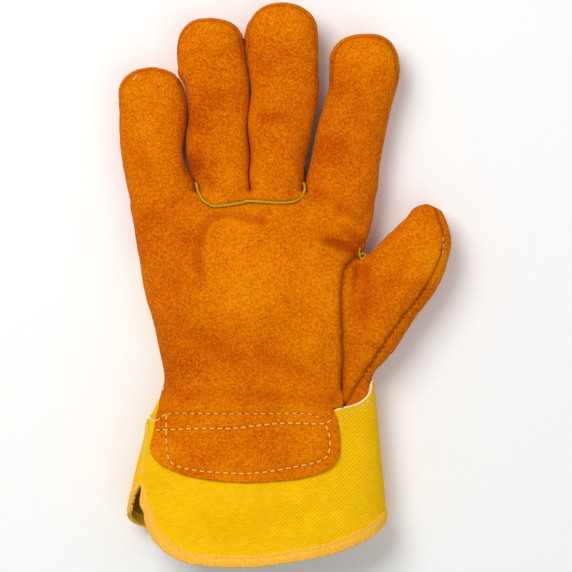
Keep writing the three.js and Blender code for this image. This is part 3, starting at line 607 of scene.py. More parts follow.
def cut_along(bm, region):
    """Cuts the skin's faces along the line where a region begins."""
    points = places_of(bm)
    cut_where(bm, region(points[:, 0], points[:, 1], points[:, 2]))


def cut_where(bm, depth):
    """Cuts the faces where a value at the vertices passes zero, through the vertices on that line."""
    bmesh.ops.triangulate(bm, faces=[f for f in bm.faces if len(f.verts) > 3])
    bm.edges.index_update()
    side = np.where(np.abs(depth) < on_the_line, 0, np.sign(depth))
    ends = np.array([(e.verts[0].index, e.verts[1].index) for e in bm.edges])
    crossing = np.nonzero(side[ends[:, 0]] * side[ends[:, 1]] < 0)[0]
    bm.edges.ensure_lookup_table()
    bm.verts.ensure_lookup_table()
    edges = [bm.edges[i] for i in crossing]
    cuts = [bm.verts[i] for i in np.nonzero(side == 0)[0]]
    for edge, (a, b) in zip(edges, ends[crossing]):
        share = depth[a] / (depth[a] - depth[b])
        _, vert = bmesh.utils.edge_split(edge, edge.verts[0], float(share))
        cuts.append(vert)
    bmesh.ops.connect_verts(bm, verts=cuts)
    bm.verts.index_update()
    bm.edges.index_update()
    bm.faces.index_update()


def label_faces(bm, regions):
    """The panel of each face: the last of the named regions that its middle lies in."""
    middles = np.array([f.calc_center_median() for f in bm.faces]) / MM
    labels = np.full(len(middles), "", dtype=object)
    for name, region in regions:
        inside = region(middles[:, 0], middles[:, 1], middles[:, 2]) > 0
        labels[inside] = name
    return labels


# Folds pressed into the palm side: reach and depth in millimetres, then the places that each runs through, as
# shares of palm_width and of palm_length or finger_reach. A fold fades at its last place. A negative depth
# is a ridge.
# A fold's depth also darkens the leather's colour there, as painted shade.
folds = [
    (4.0, 1.4, [(0.26, -0.03), (0.47, -0.13)]),
    (2.2, 0.9, [(0.36, -0.10), (0.49, -0.17)]),
    (2.0, 2.3, [(0.44, -0.29), (0.37, -0.255), (0.27, -0.235)]),
    (2.0, 1.7, [(0.45, -0.25), (0.40, -0.20), (0.34, -0.16)]),
    (4.2, 0.9, [(0.40, -0.27), (0.24, -0.19), (0.12, -0.13)]),
    (6.0, 1.0, [(-0.40, -0.15), (-0.24, -0.185)]),
    (2.4, 1.9, [(0.06, -0.152), (-0.02, -0.13), (-0.10, -0.114), (-0.165, -0.15), (-0.195, -0.24),
                (-0.204, -0.332), (-0.19, -0.42), (-0.172, -0.50)]),
    (6.0, 0.7, [(-0.25, -0.22), (-0.26, -0.5)]),
    (3.8, 1.6, [(0.447, -0.37), (0.452, -0.52), (0.44, -0.68)]),
    (4.0, 0.9, [(0.42, -0.72), (0.38, -0.9)]),
    (7.0, 1.2, [(-0.28, -0.62), (-0.08, -0.75), (0.10, -0.84)]),
    (5.0, 1.0, [(0.06, -0.74), (0.34, -0.90)]),
    (3.6, 1.1, [(0.34, -0.955), (0.0, -0.93), (-0.34, -0.93)]),
    (3.2, 1.3, [(0.05, 0.365), (0.20, 0.36)]),
    (3.6, 1.4, [(-0.23, 0.12), (-0.17, 0.30)]),
    (3.6, 0.9, [(-0.14, 0.47), (-0.04, 0.49)]),
    (4.5, 1.0, [(0.44, 0.38), (0.52, 0.30)]),
    (4.5, 0.9, [(0.33, 0.22), (0.44, 0.18)]),
    (5.0, 0.8, [(-0.43, 0.15), (-0.36, -0.10)]),
    (1.8, 1.3, [(-0.168, 0.045), (-0.15, -0.05)]),
    (4.0, 0.6, [(0.55, -0.45), (0.66, -0.25)]),
    (24.0, -2.4, [(0.0, -0.42), (0.08, -0.42)]),
]

# Where the nap is lighter: worn nap, and painted light on rounded crowns such as the palm's dome and the
# fingertips.
# Place as a share of palm_width and of palm_length or finger_reach, reach in millimetres and amount. A
# negative amount is painted shade, in the creases between the fingers and along the palm's folds.
wear_light_and_shade = [
    (-0.06, -0.34, 15, 0.35),
    (0.0, -0.48, 18, 0.45),
    (0.24, -0.62, 17, 0.4),
    (0.12, -0.30, 14, 0.25),
    (0.26, -0.31, 9, 0.3),
    (0.34, -0.45, 13, 0.4),
    (0.41, -0.13, 11, 0.45),
    (0.2, -0.95, 12, 0.4),
    (-0.38, 0.52, 12, 0.4),
    (-0.42, 0.3, 12, 0.25),
    (-0.14, 0.80, 9, 0.3),
    (0.14, 0.88, 10, 0.3),
    (0.54, 0.71, 6, 0.6),
    (0.68, -0.22, 14, 0.3),
    (0.74, -0.35, 8, 0.8),
    (-0.03, 0.07, 7, 0.5),
    (-0.12, -0.05, 9, 0.3),
    (-0.38, 0.05, 14, 0.2),
    (-0.35, -1.17, 8, 0.6),
    (-0.06, -1.31, 13, 0.7),
    (-0.225, 0.35, 7, -0.8),
    (-0.225, 0.12, 6.5, -0.95),
    (-0.03, 0.35, 6, 0.4),
    (-0.48, 0.5, 6, 0.4),
    (-0.12, -0.98, 14, 0.4),
    (0.25, -1.12, 10, 0.35),
    (-0.06, -0.17, 8, 0.35),
    (-0.26, -0.24, 6, -0.4),
    (-0.16, 0.47, 10, -0.3),
    (0.32, 0.2, 9, -0.6),
    (0.38, 0.52, 11, -0.3),
    (0.42, 0.74, 9, 0.3),
    (0.04, 0.67, 9, -0.35),
    (-0.42, -0.24, 9, -0.4),
    (-0.28, -0.80, 13, -0.55),
    (-0.13, -0.88, 11, -0.1),
    (-0.30, -0.45, 12, -0.25),
    (0.46, -0.53, 8, -0.4),
    (-0.02, -1.16, 16, -0.15),
]


def wear_light_and_shade_at(x, y):
    # Worn nap and painted light raise the amount, painted shade lowers it.
    amount = np.full(len(x), 0.25)
    for across, up, reach, strength in wear_light_and_shade:
        away = np.hypot(x - across * palm_width, y - height_up(up))
        amount += strength * np.exp(-((away / reach) ** 2))
    return amount


def fold_depth(x, y):
    pressed = np.zeros(len(x))
    for reach, depth, places in folds:
        line = seam_points([(up, across) for across, up in places], 3.0)
        press = depth * np.exp(-((distance_to(line, x, y) / reach) ** 2))
        if depth > 0:
            from_end = np.hypot(x - line[-1][0], y - line[-1][1])
            press *= 1 - 0.85 * np.exp(-((from_end / (2 * reach)) ** 2))
        pressed += press
    return pressed


# How deep the leather sinks along a seam and how far beside it, in millimetres, how much painted shade
# darkens the seam's groove and how much the leather gathers along it, by what the seam joins.
plain_seam = (0.5, 1.2, 0.8, 0.6)
strip_seam = (0.15, 1.0, 0.45, 0.3)
tip_seam = (0.35, 1.0, 0.5, 0.35)
seam_depths = {
    frozenset(("palm", "thumb_front")): (1.7, 2.0, 0.85, 1.0),
    frozenset(("palm", "middle_fingers_front")): (1.1, 1.8, 0.5, 1.0),
    frozenset(("palm", "little_back")): tip_seam,
    frozenset(("palm", "index_back")): tip_seam,
    frozenset(("middle_fingers_front", "ring_back")): tip_seam,
    frozenset(("middle_fingers_front", "middle_back")): tip_seam,
    frozenset(("thumb_front", "thumb_back")): (0.7, 1.2, 0.75, 2.5),
}

# Unevenness as rows of a height and the size of its lumps, in millimetres: small puckers at a seam, larger
# ones beside it that fade over some millimetres, and the leather's own lumps.
pucker = (0.36, 1.6)
pull = (0.34, 4.5)
pull_reach = 5.5
leather_lumps = [(0.5, 14), (0.15, 5)]

# The wrist's gathers run along the hand: height, size across and along, and how far they reach from the
# wrist, in millimetres.
wrist_y = -0.985 * palm_length
wrist_gather = (0.5, 2.4, 9)
wrist_reach = 6


def lump(spot, row):
    """Height of a row's unevenness at a place, both in millimetres."""
    height, size = row
    return height * noise.noise(spot / size)


def press_seams(bm, labels, rows=()):
    """Sinks the skin along its seams, gathers it beside them and presses in the folds and the sewn rows, and
    keeps for the leather's colour the painted shade of the seams, folds and sewn rows and the worn nap with
    painted light and shade.
    """
    bm.faces.ensure_lookup_table()
    seams = []
    for vert in bm.verts:
        joined = frozenset(labels[f.index] for f in vert.link_faces)
        if len(joined) > 1 and not (vert.co.y < height_up(-0.9) * MM and "palm" in joined):
            usual = strip_seam if joined & set(strips) else plain_seam
            seams.append((vert.co.copy(), seam_depths.get(joined, usual)))
    tree = KDTree(len(seams))
    for i, (spot, _) in enumerate(seams):
        tree.insert(spot, i)
    tree.balance()
    bm.normal_update()
    painted_seam_shade = bm.verts.layers.float.new("painted_seam_shade")
    painted_fold_shade = bm.verts.layers.float.new("painted_fold_shade")
    wear_light_shade = bm.verts.layers.float.new("wear_light_shade")
    points = places_of(bm)
    folded = fold_depth(points[:, 0], points[:, 1])
    wear_light_and_shade = wear_light_and_shade_at(points[:, 0], points[:, 1])
    sewn = np.zeros(len(points))
    for row in rows:
        away = distance_to(seam_points(row), points[:, 0], points[:, 1])
        sewn = np.maximum(sewn, 0.45 * np.exp(-((away / 1.2) ** 2)))
    moves = []
    for vert, fold, row, wear_light_shade_amount in zip(bm.verts, folded, sewn, wear_light_and_shade):
        spot, nearest, away = tree.find(vert.co)
        depth, reach, seam_shade_strength, gathered = seams[nearest][1]
        if spot.y > height_up(-0.42) * MM:
            gathered = min(gathered, 0.5)
        away /= MM
        upward = max(0.0, min(1.0, 2.0 * vert.normal.z))
        sink = depth * math.exp(-((away / reach) ** 1.6))
        spread = 2.4 * min(max(1, 1.6 * gathered), 3)
        gather = lump(spot / MM, pucker) * math.exp(-away / spread) * min(1, away / 0.8)
        gather += lump(spot / MM, pull) * math.exp(-away / pull_reach)
        gather *= gathered
        x, y = vert.co.x / MM, vert.co.y / MM
        height, across, along = wrist_gather
        at_wrist = math.exp(-(((y - wrist_y) / wrist_reach) ** 2))
        gather += upward * height * noise.noise(Vector((x / across, y / along, 0))) * at_wrist
        lumps = sum(lump(vert.co / MM, row_of_lumps) for row_of_lumps in leather_lumps)
        flat = 1 if vert.co.z > near_floor * MM else 0.15
        moves.append(vert.normal * (-(sink + gather + (fold + row) * upward - lumps * flat) * MM))
        # Painted shade along each seam's groove, fading with distance from the seam.
        vert[painted_seam_shade] = math.exp(-((away / (0.7 * reach)) ** 1.3)) * seam_shade_strength
        # Painted shade in the folds and along the sewn rows, on faces that look up.
        vert[painted_fold_shade] = max(0.0, min(1.0, 0.4 * (fold + 1.5 * row) * upward))
        # Worn nap with painted light and painted shade, kept for the leather's colour.
        vert[wear_light_shade] = max(-1.0, min(1.0, wear_light_shade_amount))
    for vert, move in zip(bm.verts, moves):
        vert.co += move
        vert.co.z = max(vert.co.z, 0.0)


def panel(bm, labels, name):
    """One panel of the skin as a piece of its own, with the leather's or drill's thickness inward."""
    part = bm.copy()
    part.faces.ensure_lookup_table()
    others = [part.faces[i] for i in np.nonzero(labels != name)[0]]
    bmesh.ops.delete(part, geom=others, context="FACES")
    piece = object_of(part, name)
    give_wall(piece, drill if name == "back_hand" else leather)
    applied(piece)
    for vert in piece.data.vertices:
        vert.co.z = max(vert.co.z, 0.0)
    return piece


def everywhere(x, y, z):
    return np.ones(len(x))


def back_regions():
    regions = [("back_hand", everywhere)]
    regions.append(("knuckle_strap", lambda x, y, z: y - strap_low))
    regions.append(("index_back", lambda x, y, z: y - knuckle_strap_top))
    for name in ("middle_back", "ring_back", "little_back"):
        gap = finger_backs[name]
        regions.append((name, lambda x, y, z, gap=gap: np.minimum(edge_x(gap, y) - x, y - knuckle_strap_top)))
    return regions


def line_wrist(bm, labels):
    """Runs the back's drill on under the palm at the wrist, and leaves the wrist open at its end."""
    middles = np.array([f.calc_center_median() for f in bm.faces]) / MM
    begins = np.where(middles[:, 0] > 0, height_up(drill_from_thumb), height_up(drill_from_little))
    labels[(labels == "palm") & (middles[:, 1] < begins)] = "back_hand"
    labels[middles[:, 1] < height_up(wrist_end)] = "end"


def make_hand():
    """Every leather and drill panel of the hand. The palm comes from the form that goes over the cuff."""
    regions = back_regions()
    regions.append(("thumb_back", thumb_region))
    regions += [(name, strip_region(name)) for name in strips]
    regions.append(("thumb_front", thumb_front_region))
    regions.append(("palm", palm_region))
    regions.append(("back_hand", lambda x, y, z: np.minimum(drill_side_region(x, y, z), strap_low - y)))
    regions.append(("middle_fingers_front", middle_region))
    pieces = {}
    for wrist in ("under", "over"):
        bm = hand_form(wrist)
        close_gaps(bm)
        for name, region in regions:
            if region is not everywhere:
                cut_along(bm, region)
        cut_along(bm, lambda x, y, z: y - height_up(wrist_end))
        bmesh.ops.triangulate(bm, faces=[f for f in bm.faces if len(f.verts) > 3])
        bm.faces.index_update()
        labels = label_faces(bm, regions)
        if wrist == "under":
            line_wrist(bm, labels)
        press_seams(bm, labels, stitch_rows.values() if wrist == "over" else ())
        for name in dict.fromkeys(name for name, _ in regions):
            if (name == "palm") == (wrist == "over"):
                pieces[name] = panel(bm, labels, name)
        bm.free()
    return pieces


hand = make_hand()


# The cuff's regions, as for the hand's panels: inside its rim, outside its slit, and below its top edge.
def rim_outline(left):
    rim = cuff_points(left + cuff_rim_right)
    return [*rim, (far_away, 0), (-far_away, 0)]


def rim_region(x, y, z):
    front = depth_inside(rim_outline(cuff_rim_left_front), x, y)
    back = depth_inside(rim_outline(cuff_rim_left_back), x, y)
    return np.where(z > 0.56 * cuff_height, front, back)


def slit_points():
    return curve_through([(-palm_length - down * cuff_length, up * cuff_height) for down, up in slit_edge])


def slit_region(x, y, z):
    depth = depth_inside(slit_points(), y, z)
    return np.where(x < 0, -depth, far_away)


def top_edge_region(x, y, z):
    outline = [*cuff_points(cuff_top_edge), (far_away, -far_away), (-far_away, -far_away)]
    return depth_inside(outline, x, y)


def pattern_region(x, y, z):
    """Inside the rim, the slit and the top edge, with a rounded corner where the rim meets the slit."""
    rim, slit, corner = rim_region(x, y, z), slit_region(x, y, z), 4.0
    share = np.clip(0.5 + 0.5 * (rim - slit) / corner, 0, 1)
    free = rim * (1 - share) + slit * share - corner * share * (1 - share)
    return np.minimum(free, top_edge_region(x, y, z))


def edge_distance(bm):
    """How far each vertex of the cuff lies from its rim or slit."""
    spots = [v.co.copy() for v in bm.verts if v.is_boundary]
    points = np.array(spots) / MM
    free = np.abs(top_edge_region(points[:, 0], points[:, 1], points[:, 2])) > 0.5
    tree = KDTree(int(free.sum()))
    for i in np.nonzero(free)[0]:
        tree.insert(spots[i], int(i))
    tree.balance()
    return np.array([tree.find(v.co)[2] / MM for v in bm.verts])


def even_ring(points, count):
    """The same closed ring with evenly spaced points."""
    points = np.array([*points, points[0]])
    run = np.concatenate(([0], np.cumsum(np.linalg.norm(np.diff(points, axis=0), axis=1))))
    even = np.linspace(0, run[-1], count + 1)[:-1]
    return np.stack([np.interp(even, run, points[:, k]) for k in range(3)], axis=1)


def cuff_surface():
    """The cuff's outside as an open tube of even faces."""
    bm = bmesh.new()
    bridge(bm, [even_ring(cuff_ring(-palm_length - down * cuff_length, 0.0, 400), 330)
                for down in np.linspace(-0.22, 1.03, 104)])
    bmesh.ops.recalc_face_normals(bm, faces=bm.faces)
    outward = sum(f.normal.x * f.calc_center_median().x for f in bm.faces)
    if outward < 0:
        bmesh.ops.reverse_faces(bm, faces=bm.faces)
    bm.verts.index_update()
    return bm


def lay_cloth_uv(bm):
    """UV of the drill in millimetres, round the cuff and down it, so that the weave follows the cloth."""
    layer = bm.loops.layers.uv.new("cloth")
    ring = np.array(cuff_ring(-1.5 * palm_length, 0.0, 400))
    centre, half = ring[:, 0].mean(), 0.5 * np.ptp(ring[:, 0])
    angle = np.unwrap(np.arctan2((ring[:, 2] - cuff_seam_height) / 20, (ring[:, 0] - centre) / half))
    run = np.concatenate(([0], np.cumsum(np.linalg.norm(np.diff(ring, axis=0), axis=1))))
    for face in bm.faces:
        middle = face.calc_center_median() / MM
        near = math.atan2((middle.z - cuff_seam_height) / 20, (middle.x - centre) / half) % (2 * math.pi)
        for loop in face.loops:
            at = loop.vert.co / MM
            turn = math.atan2((at.z - cuff_seam_height) / 20, (at.x - centre) / half)
            turn += 2 * math.pi * round((near - turn) / (2 * math.pi))
            loop[layer].uv = (float(np.interp(turn, angle, run)), at.y)


def soften_cuff(bm):
    """Slow waves down the drill, small puckers along its bound edge and the pull of the seams."""
    bm.normal_update()
    points = places_of(bm)
    edge = edge_distance(bm)
    wrist = distance_to(seam_points(flap_edge), points[:, 0], points[:, 1])
    side = distance_to(seam_points(cuff_rows_sewn["side_seam"]), points[:, 0], points[:, 1])
    moves = []
    for vert, away, flap, seam in zip(bm.verts, edge, wrist, side):
        co = vert.co / MM
        wave = 0.8 * noise.noise(Vector((co.x / 22, co.y / 50, co.z / 22)))
        wave += 0.35 * noise.noise(Vector((co.x / 9, co.y / 16, co.z / 9)))
        beside_tape = math.exp(-abs(away - tape_width) / 2.5)
        puckered = 0.4 * noise.noise(Vector((co.x / 2.6, co.y / 7, co.z / 2.6))) * beside_tape
        pulled = 0.5 * noise.noise(Vector((co.x / 5, co.y / 9, co.z / 5))) * math.exp(-flap / 5)
        sink = -0.5 * math.exp(-((seam / 1.2) ** 2)) if co.z > cuff_seam_height else 0
        moves.append(vert.normal * ((wave + puckered + pulled + sink) * MM * (1 if co.z > 2 else 0.1)))
    for vert, move in zip(bm.verts, moves):
        vert.co += move
        vert.co.z = max(vert.co.z, (tape + 0.1) * MM)


def trim_edges(bm):
    """Takes off the slivers that a cut leaves along the edges, and evens the edges."""
    sliver = 0.001 * MM * MM
    for _ in range(4):
        ears = [f for f in bm.faces if sum(e.is_boundary for e in f.edges) > 1 or f.calc_area() < sliver]
        bmesh.ops.delete(bm, geom=ears, context="FACES")
    for _ in range(3):
        free = [v for v in bm.verts if v.is_boundary]
        sides = [[e.other_vert(v).co.copy() for e in v.link_edges if e.is_boundary] for v in free]
        for vert, near in zip(free, sides):
            if len(near) == 2:
                vert.co = 0.5 * vert.co + 0.25 * (near[0] + near[1])


def keep_where(bm, depth):
    """Cuts the faces where a value at the vertices passes zero and keeps those where it is above."""
    values = bm.verts.layers.float.new("kept")
    for vert, value in zip(bm.verts, depth):
        vert[values] = value
    cut_where(bm, depth)
    gone = [f for f in bm.faces if sum(v[values] for v in f.verts) / len(f.verts) <= 0]
    bmesh.ops.delete(bm, geom=gone, context="FACES")
    trim_edges(bm)
    bm.verts.layers.float.remove(bm.verts.layers.float["kept"])
    bm.verts.index_update()
    bm.edges.index_update()


# How far inside the tape's fold the cuff's cloth ends, how wide the fray along its top edge is, how wide the
# tape is beside the slit's top and how far it takes to widen again, in millimetres.
cloth_inside_tape = 0.8
fray_width = 0.6
narrow_tape = 2.6
tape_widens = 9

# Rows of hemming on the tape: distance from its edge, how deep the row presses and how wide, in millimetres.
hem_rows = [(1.5, 0.2, 0.6), (4.4, 0.25, 0.7)]


def tape_reach(points):
    """Width of the tape at each place: it is narrow beside the slit's top and runs to a point above it."""
    up = points[:, 1] + palm_length + slit_top * cuff_length
    beside_slit = tape_width - (tape_width - narrow_tape) * np.exp(-((up / tape_widens) ** 2))
    pointed = np.minimum(np.hypot(up, narrow_tape * (1 - up / tape_width)), tape_width)
    return np.where(points[:, 0] > 0, tape_width, np.where(up > 0, pointed, beside_slit))


def depth_from_edge(bm):
    """How far each vertex of the tape lies inside the rim and the slit, as they are drawn."""
    places = places_of(bm).T
    return np.maximum(np.minimum(rim_region(*places), slit_region(*places)), 0)


def make_cuff():
    """The drill cuff with its free edges, and the tape folded over them."""
    bm = cuff_surface()
    keep_where(bm, pattern_region(*places_of(bm).T))
    soften_cuff(bm)
    folded = bm.copy()
    keep_where(bm, edge_distance(bm) - cloth_inside_tape)
    cut_along(bm, lambda x, y, z: top_edge_region(x, y, z) - fray_width)
    lay_cloth_uv(bm)
    middles = np.array([f.calc_center_median() for f in bm.faces]) / MM
    frayed = (top_edge_region(*middles.T) < fray_width) & (middles[:, 0] > 0.3 * palm_width)
    for face, raw in zip(bm.faces, frayed):
        face.material_index = 2 if raw else 0
    cuff = object_of(bm, "cuff")
    # The inner side takes the darker copy of the drill, painted shade.
    give_wall(cuff, drill, material_offset=1, material_offset_rim=2)

    keep_where(folded, tape_reach(places_of(folded)) - edge_distance(folded))
    folded.normal_update()
    lifts = []
    for vert, away in zip(folded.verts, depth_from_edge(folded)):
        pressed = sum(depth * math.exp(-(((away - inside) / width) ** 2))
                      for inside, depth, width in hem_rows)
        rounded = 0.4 * math.exp(-away / 0.7)
        lifts.append(vert.normal * (tape - pressed - rounded) * MM)
    for vert, lift in zip(folded.verts, lifts):
        vert.co += lift
        vert.co.z = max(vert.co.z, 0.05 * MM)
    binding = object_of(folded, "cuff_binding")
    # The tape's inner side takes its darker copy, painted shade.
    give_wall(binding, drill + 1.6 * tape, use_quality_normals=True, material_offset=1)
    return cuff, binding


cuff, binding = make_cuff()


def surface_of(*pieces):
    """The outside of some finished pieces, for laying thread and cord on."""
    depsgraph = bpy.context.evaluated_depsgraph_get()
    return [BVHTree.FromObject(piece, depsgraph) for piece in pieces]


def laid_on(trees, start, direction):
    """Where a line of sight meets the pieces first: the place and the way out of the surface."""
    hits = [tree.ray_cast(Vector(start), Vector(direction)) for tree in trees]
    hits = [(distance, place, normal) for place, normal, _, distance in hits if place is not None]
    if not hits:
        return None
    _, place, normal = min(hits, key=lambda hit: hit[0])
    return place, (normal if normal.dot(Vector(direction)) < 0 else -normal)


def along_line(line, distance):
    """Point at a distance along a line of points."""
    run = np.concatenate(([0], np.cumsum(np.linalg.norm(np.diff(line, axis=0), axis=1))))
    return [float(np.interp(distance, run, line[:, k])) for k in range(line.shape[1])]


def length_of(line):
    return float(np.linalg.norm(np.diff(line, axis=0), axis=1).sum())


# Half the size of the dark dent of painted shade at each needle hole: along the row, across it and deep, in
# millimetres.
needle_hole = (0.46, 0.4, 0.13)


def sew(thread, hole_shade, trees, line, view, stitch=2.6, space=1.1, thick=0.82):
    """Stitches along a line that is seen from above or from the side, with a dark dent of painted shade at
    both ends of each when a mesh for the needle holes is given.
    """
    done = 0.0
    while done + stitch < length_of(line):
        ends = []
        for distance in (done, done + stitch):
            a, b = along_line(line, distance)
            if view == "top":
                ends.append(laid_on(trees, (a * MM, b * MM, 0.1), (0, 0, -1)))
            else:
                ends.append(laid_on(trees, (-0.2, a * MM, b * MM), (1, 0, 0)))
        done += stitch + space
        if None in ends or (ends[0][0] - ends[1][0]).length > 1.6 * stitch * MM:
            continue
        middle = 0.5 * (ends[0][0] + ends[1][0])
        out = (ends[0][1] + ends[1][1]).normalized()
        run = (ends[1][0] - ends[0][0]).normalized()
        across = out.cross(run).normalized()
        out = run.cross(across)
        turn = Matrix((run, across, out)).transposed().to_4x4()
        size = Matrix.Diagonal((0.5 * (stitch + 0.5) * MM, 0.5 * thick * MM, 0.5 * thick * MM, 1))
        lift = Matrix.Translation(middle + out * 0.12 * thick * MM)
        bmesh.ops.create_uvsphere(thread, u_segments=8, v_segments=6, radius=1, matrix=lift @ turn @ size)
        # A dark dent of painted shade at each needle hole.
        for place, _ in ends if hole_shade else ():
            dent = Matrix.Diagonal((*(half * MM for half in needle_hole), 1))
            spot = Matrix.Translation(place) @ turn @ dent
            bmesh.ops.create_uvsphere(hole_shade, u_segments=8, v_segments=4, radius=1, matrix=spot)


def make_thread():
    """The rows of stitches that show: on the flap, the wrist, the thumb, the little finger's tip, the cuff's
    side seam and its tape."""
    palm, body = surface_of(hand["palm"]), surface_of(cuff)
    thumb = surface_of(hand["thumb_front"], hand["thumb_back"])
    pale, hole_shade, faded, hemming = bmesh.new(), bmesh.new(), bmesh.new(), bmesh.new()
    for name, row in stitch_rows.items():
        sew(pale, hole_shade, palm, seam_points(row), "top", thick=0.5 if name in fine_rows else 0.82)
    for thread, panels, row, step, stitch, space, thick in (
            (faded, body, cuff_rows_sewn["wrist_seam"], 1.5, 1.8, 1.3, 0.5),
            (faded, body, cuff_rows_sewn["side_seam"], 1.5, 1.5, 0.7, 0.6),
            (faded, body, bartack, 0.4, 1.1, 0.1, 0.8),
            (faded, thumb, thumb_row, 0.5, 1.6, 1.6, 0.5),
            (faded, palm, little_tip_row, 0.4, 1.0, 0.4, 0.5),
            # The thumb lip's row takes the needle holes' dark finish: painted shade along the lip.
            (hole_shade, thumb, lip_row, 0.5, 1.5, 1.3, 0.55)):
        sew(thread, None, panels, seam_points(row, step), "top", stitch, space, thick)
    bound = surface_of(binding)
    for inside, _, _ in hem_rows:
        rim = beside(cuff_points(cuff_rim_left_front + cuff_rim_right), inside)
        for line, view in ((rim, "top"), (beside(slit_points(), -inside), "side")):
            sew(hemming, None, bound, line, view, stitch=1.9, space=1.0, thick=0.42)
    # needle_holes holds the dark dents of painted shade at the needle holes and the thumb lip's dark row.
    made = ((pale, "sewing_thread"), (faded, "side_seam_thread"), (hole_shade, "needle_holes"),
            (hemming, "hem_thread"))
    return [object_of(bm, name) for bm, name in made]


def make_welt(name, rows, diameter, panels, step=0.8):
    """A rolled strip or loose thread in a seam, lying on the panels each side of it."""
    trees = surface_of(*panels)
    line = seam_points(rows, step)
    sides = [beside(line, step) for step in (-1.6, 0.0, 1.6)]
    heights = []
    for places in zip(*sides):
        hits = [laid_on(trees, (x * MM, y * MM, 0.1), (0, 0, -1)) for x, y in places]
        heights.append(max([hit[0].z / MM for hit in hits if hit] or [15.0]))
    heights = np.convolve(np.pad(heights, 4, mode="edge"), np.ones(9) / 9, mode="valid")
    bm = bmesh.new()
    rings = []
    centres = [Vector((x, y, z - 0.2 * diameter)) for (x, y), z in zip(line, heights)]
    for i, centre in enumerate(centres):
        run = (centres[min(i + 1, len(centres) - 1)] - centres[max(i - 1, 0)]).normalized()
        across = Vector((0, 0, 1)).cross(run).normalized()
        up = run.cross(across)
        uneven = 1 + 0.16 * noise.noise(centre / 2.5)
        ring = []
        for k in range(12):
            angle = 2 * math.pi * k / 12
            ring.append(centre + (across * math.cos(angle) + up * math.sin(angle)) * 0.5 * diameter * uneven)
        rings.append(ring)
    loft(bm, rings)
    bmesh.ops.recalc_face_normals(bm, faces=bm.faces)
    return object_of(bm, name)


palm, thumb_front = hand["palm"], hand["thumb_front"]
thread, side_thread, needle_holes, hem_thread = make_thread()
finger_welt = make_welt("finger_welt", welt_line, welt_diameter, (palm, hand["middle_fingers_front"]))
thumb_welt = make_welt("thumb_welt", thumb_welt_line, 0.75 * welt_diameter, (palm, thumb_front), 0.3)
fray = make_welt("frayed_corner", frayed_corner, 0.75, (palm, hand["back_hand"], cuff), 0.4)


# Finishes.
def linear(code):
    """An sRGB hex colour as linear values."""
    parts = [int(code[i:i + 2], 16) / 255 for i in (1, 3, 5)]
    return (*(c / 12.92 if c <= 0.04045 else ((c + 0.055) / 1.055) ** 2.4 for c in parts), 1)


def add(tree, kind, links=(), inputs=(), **settings):
    """A node with its settings, the values of its inputs, and the sockets that feed it."""
    node = tree.nodes.new(kind)
    for key, value in settings.items():
        setattr(node, key, value)
    for key, value in dict(inputs).items():
        node.inputs[key].default_value = value
    for source, target in links:
        tree.links.new(source, node.inputs[target])
    return node


def new_material(name, roughness=0.9, gloss=0.2):
    material = bpy.data.materials.new(name)
    material.use_nodes = True
    shader = material.node_tree.nodes["Principled BSDF"]
    shader.inputs["Roughness"].default_value = roughness
    shader.inputs["Specular IOR Level"].default_value = gloss
    return material, material.node_tree, shader


def ramp_of(tree, source, stops):
    """A colour ramp with (place, hex colour) stops."""
    node = add(tree, "ShaderNodeValToRGB", [(source, "Fac")])
    elements = node.color_ramp.elements
    while len(elements) < len(stops):
        elements.new(0.5)
    for element, (place, code) in zip(elements, stops):
        element.position = place
        element.color = linear(code)
    return node.outputs["Color"]


def in_millimetres(tree, kind="Object", turn=0.0, stretch=(1, 1, 1)):
    """Coordinates in millimetres, turned about the way up and stretched."""
    where = add(tree, "ShaderNodeTexCoord")
    scale = 1000 if kind == "Object" else 1
    inputs = {"Scale": [scale * s for s in stretch], "Rotation": (0, 0, turn)}
    return add(tree, "ShaderNodeMapping", [(where.outputs[kind], "Vector")], inputs).outputs["Vector"]


def speckle(tree, at, size, detail=3.0, rough=0.6, distortion=0.0):
    """Noise whose blobs are about the given size in millimetres."""
    inputs = {"Scale": 1 / size, "Detail": detail, "Roughness": rough, "Distortion": distortion}
    return add(tree, "ShaderNodeTexNoise", [(at, "Vector")], inputs).outputs["Fac"]


def blend_of(tree, parts):
    """Sum of (value, weight) parts."""
    total = None
    for value, weight in parts:
        scaled = add(tree, "ShaderNodeMath", [(value, 0)], {1: weight}, operation="MULTIPLY").outputs[0]
        total = scaled if total is None else add(tree, "ShaderNodeMath", [(total, 0), (scaled, 1)]).outputs[0]
    return total


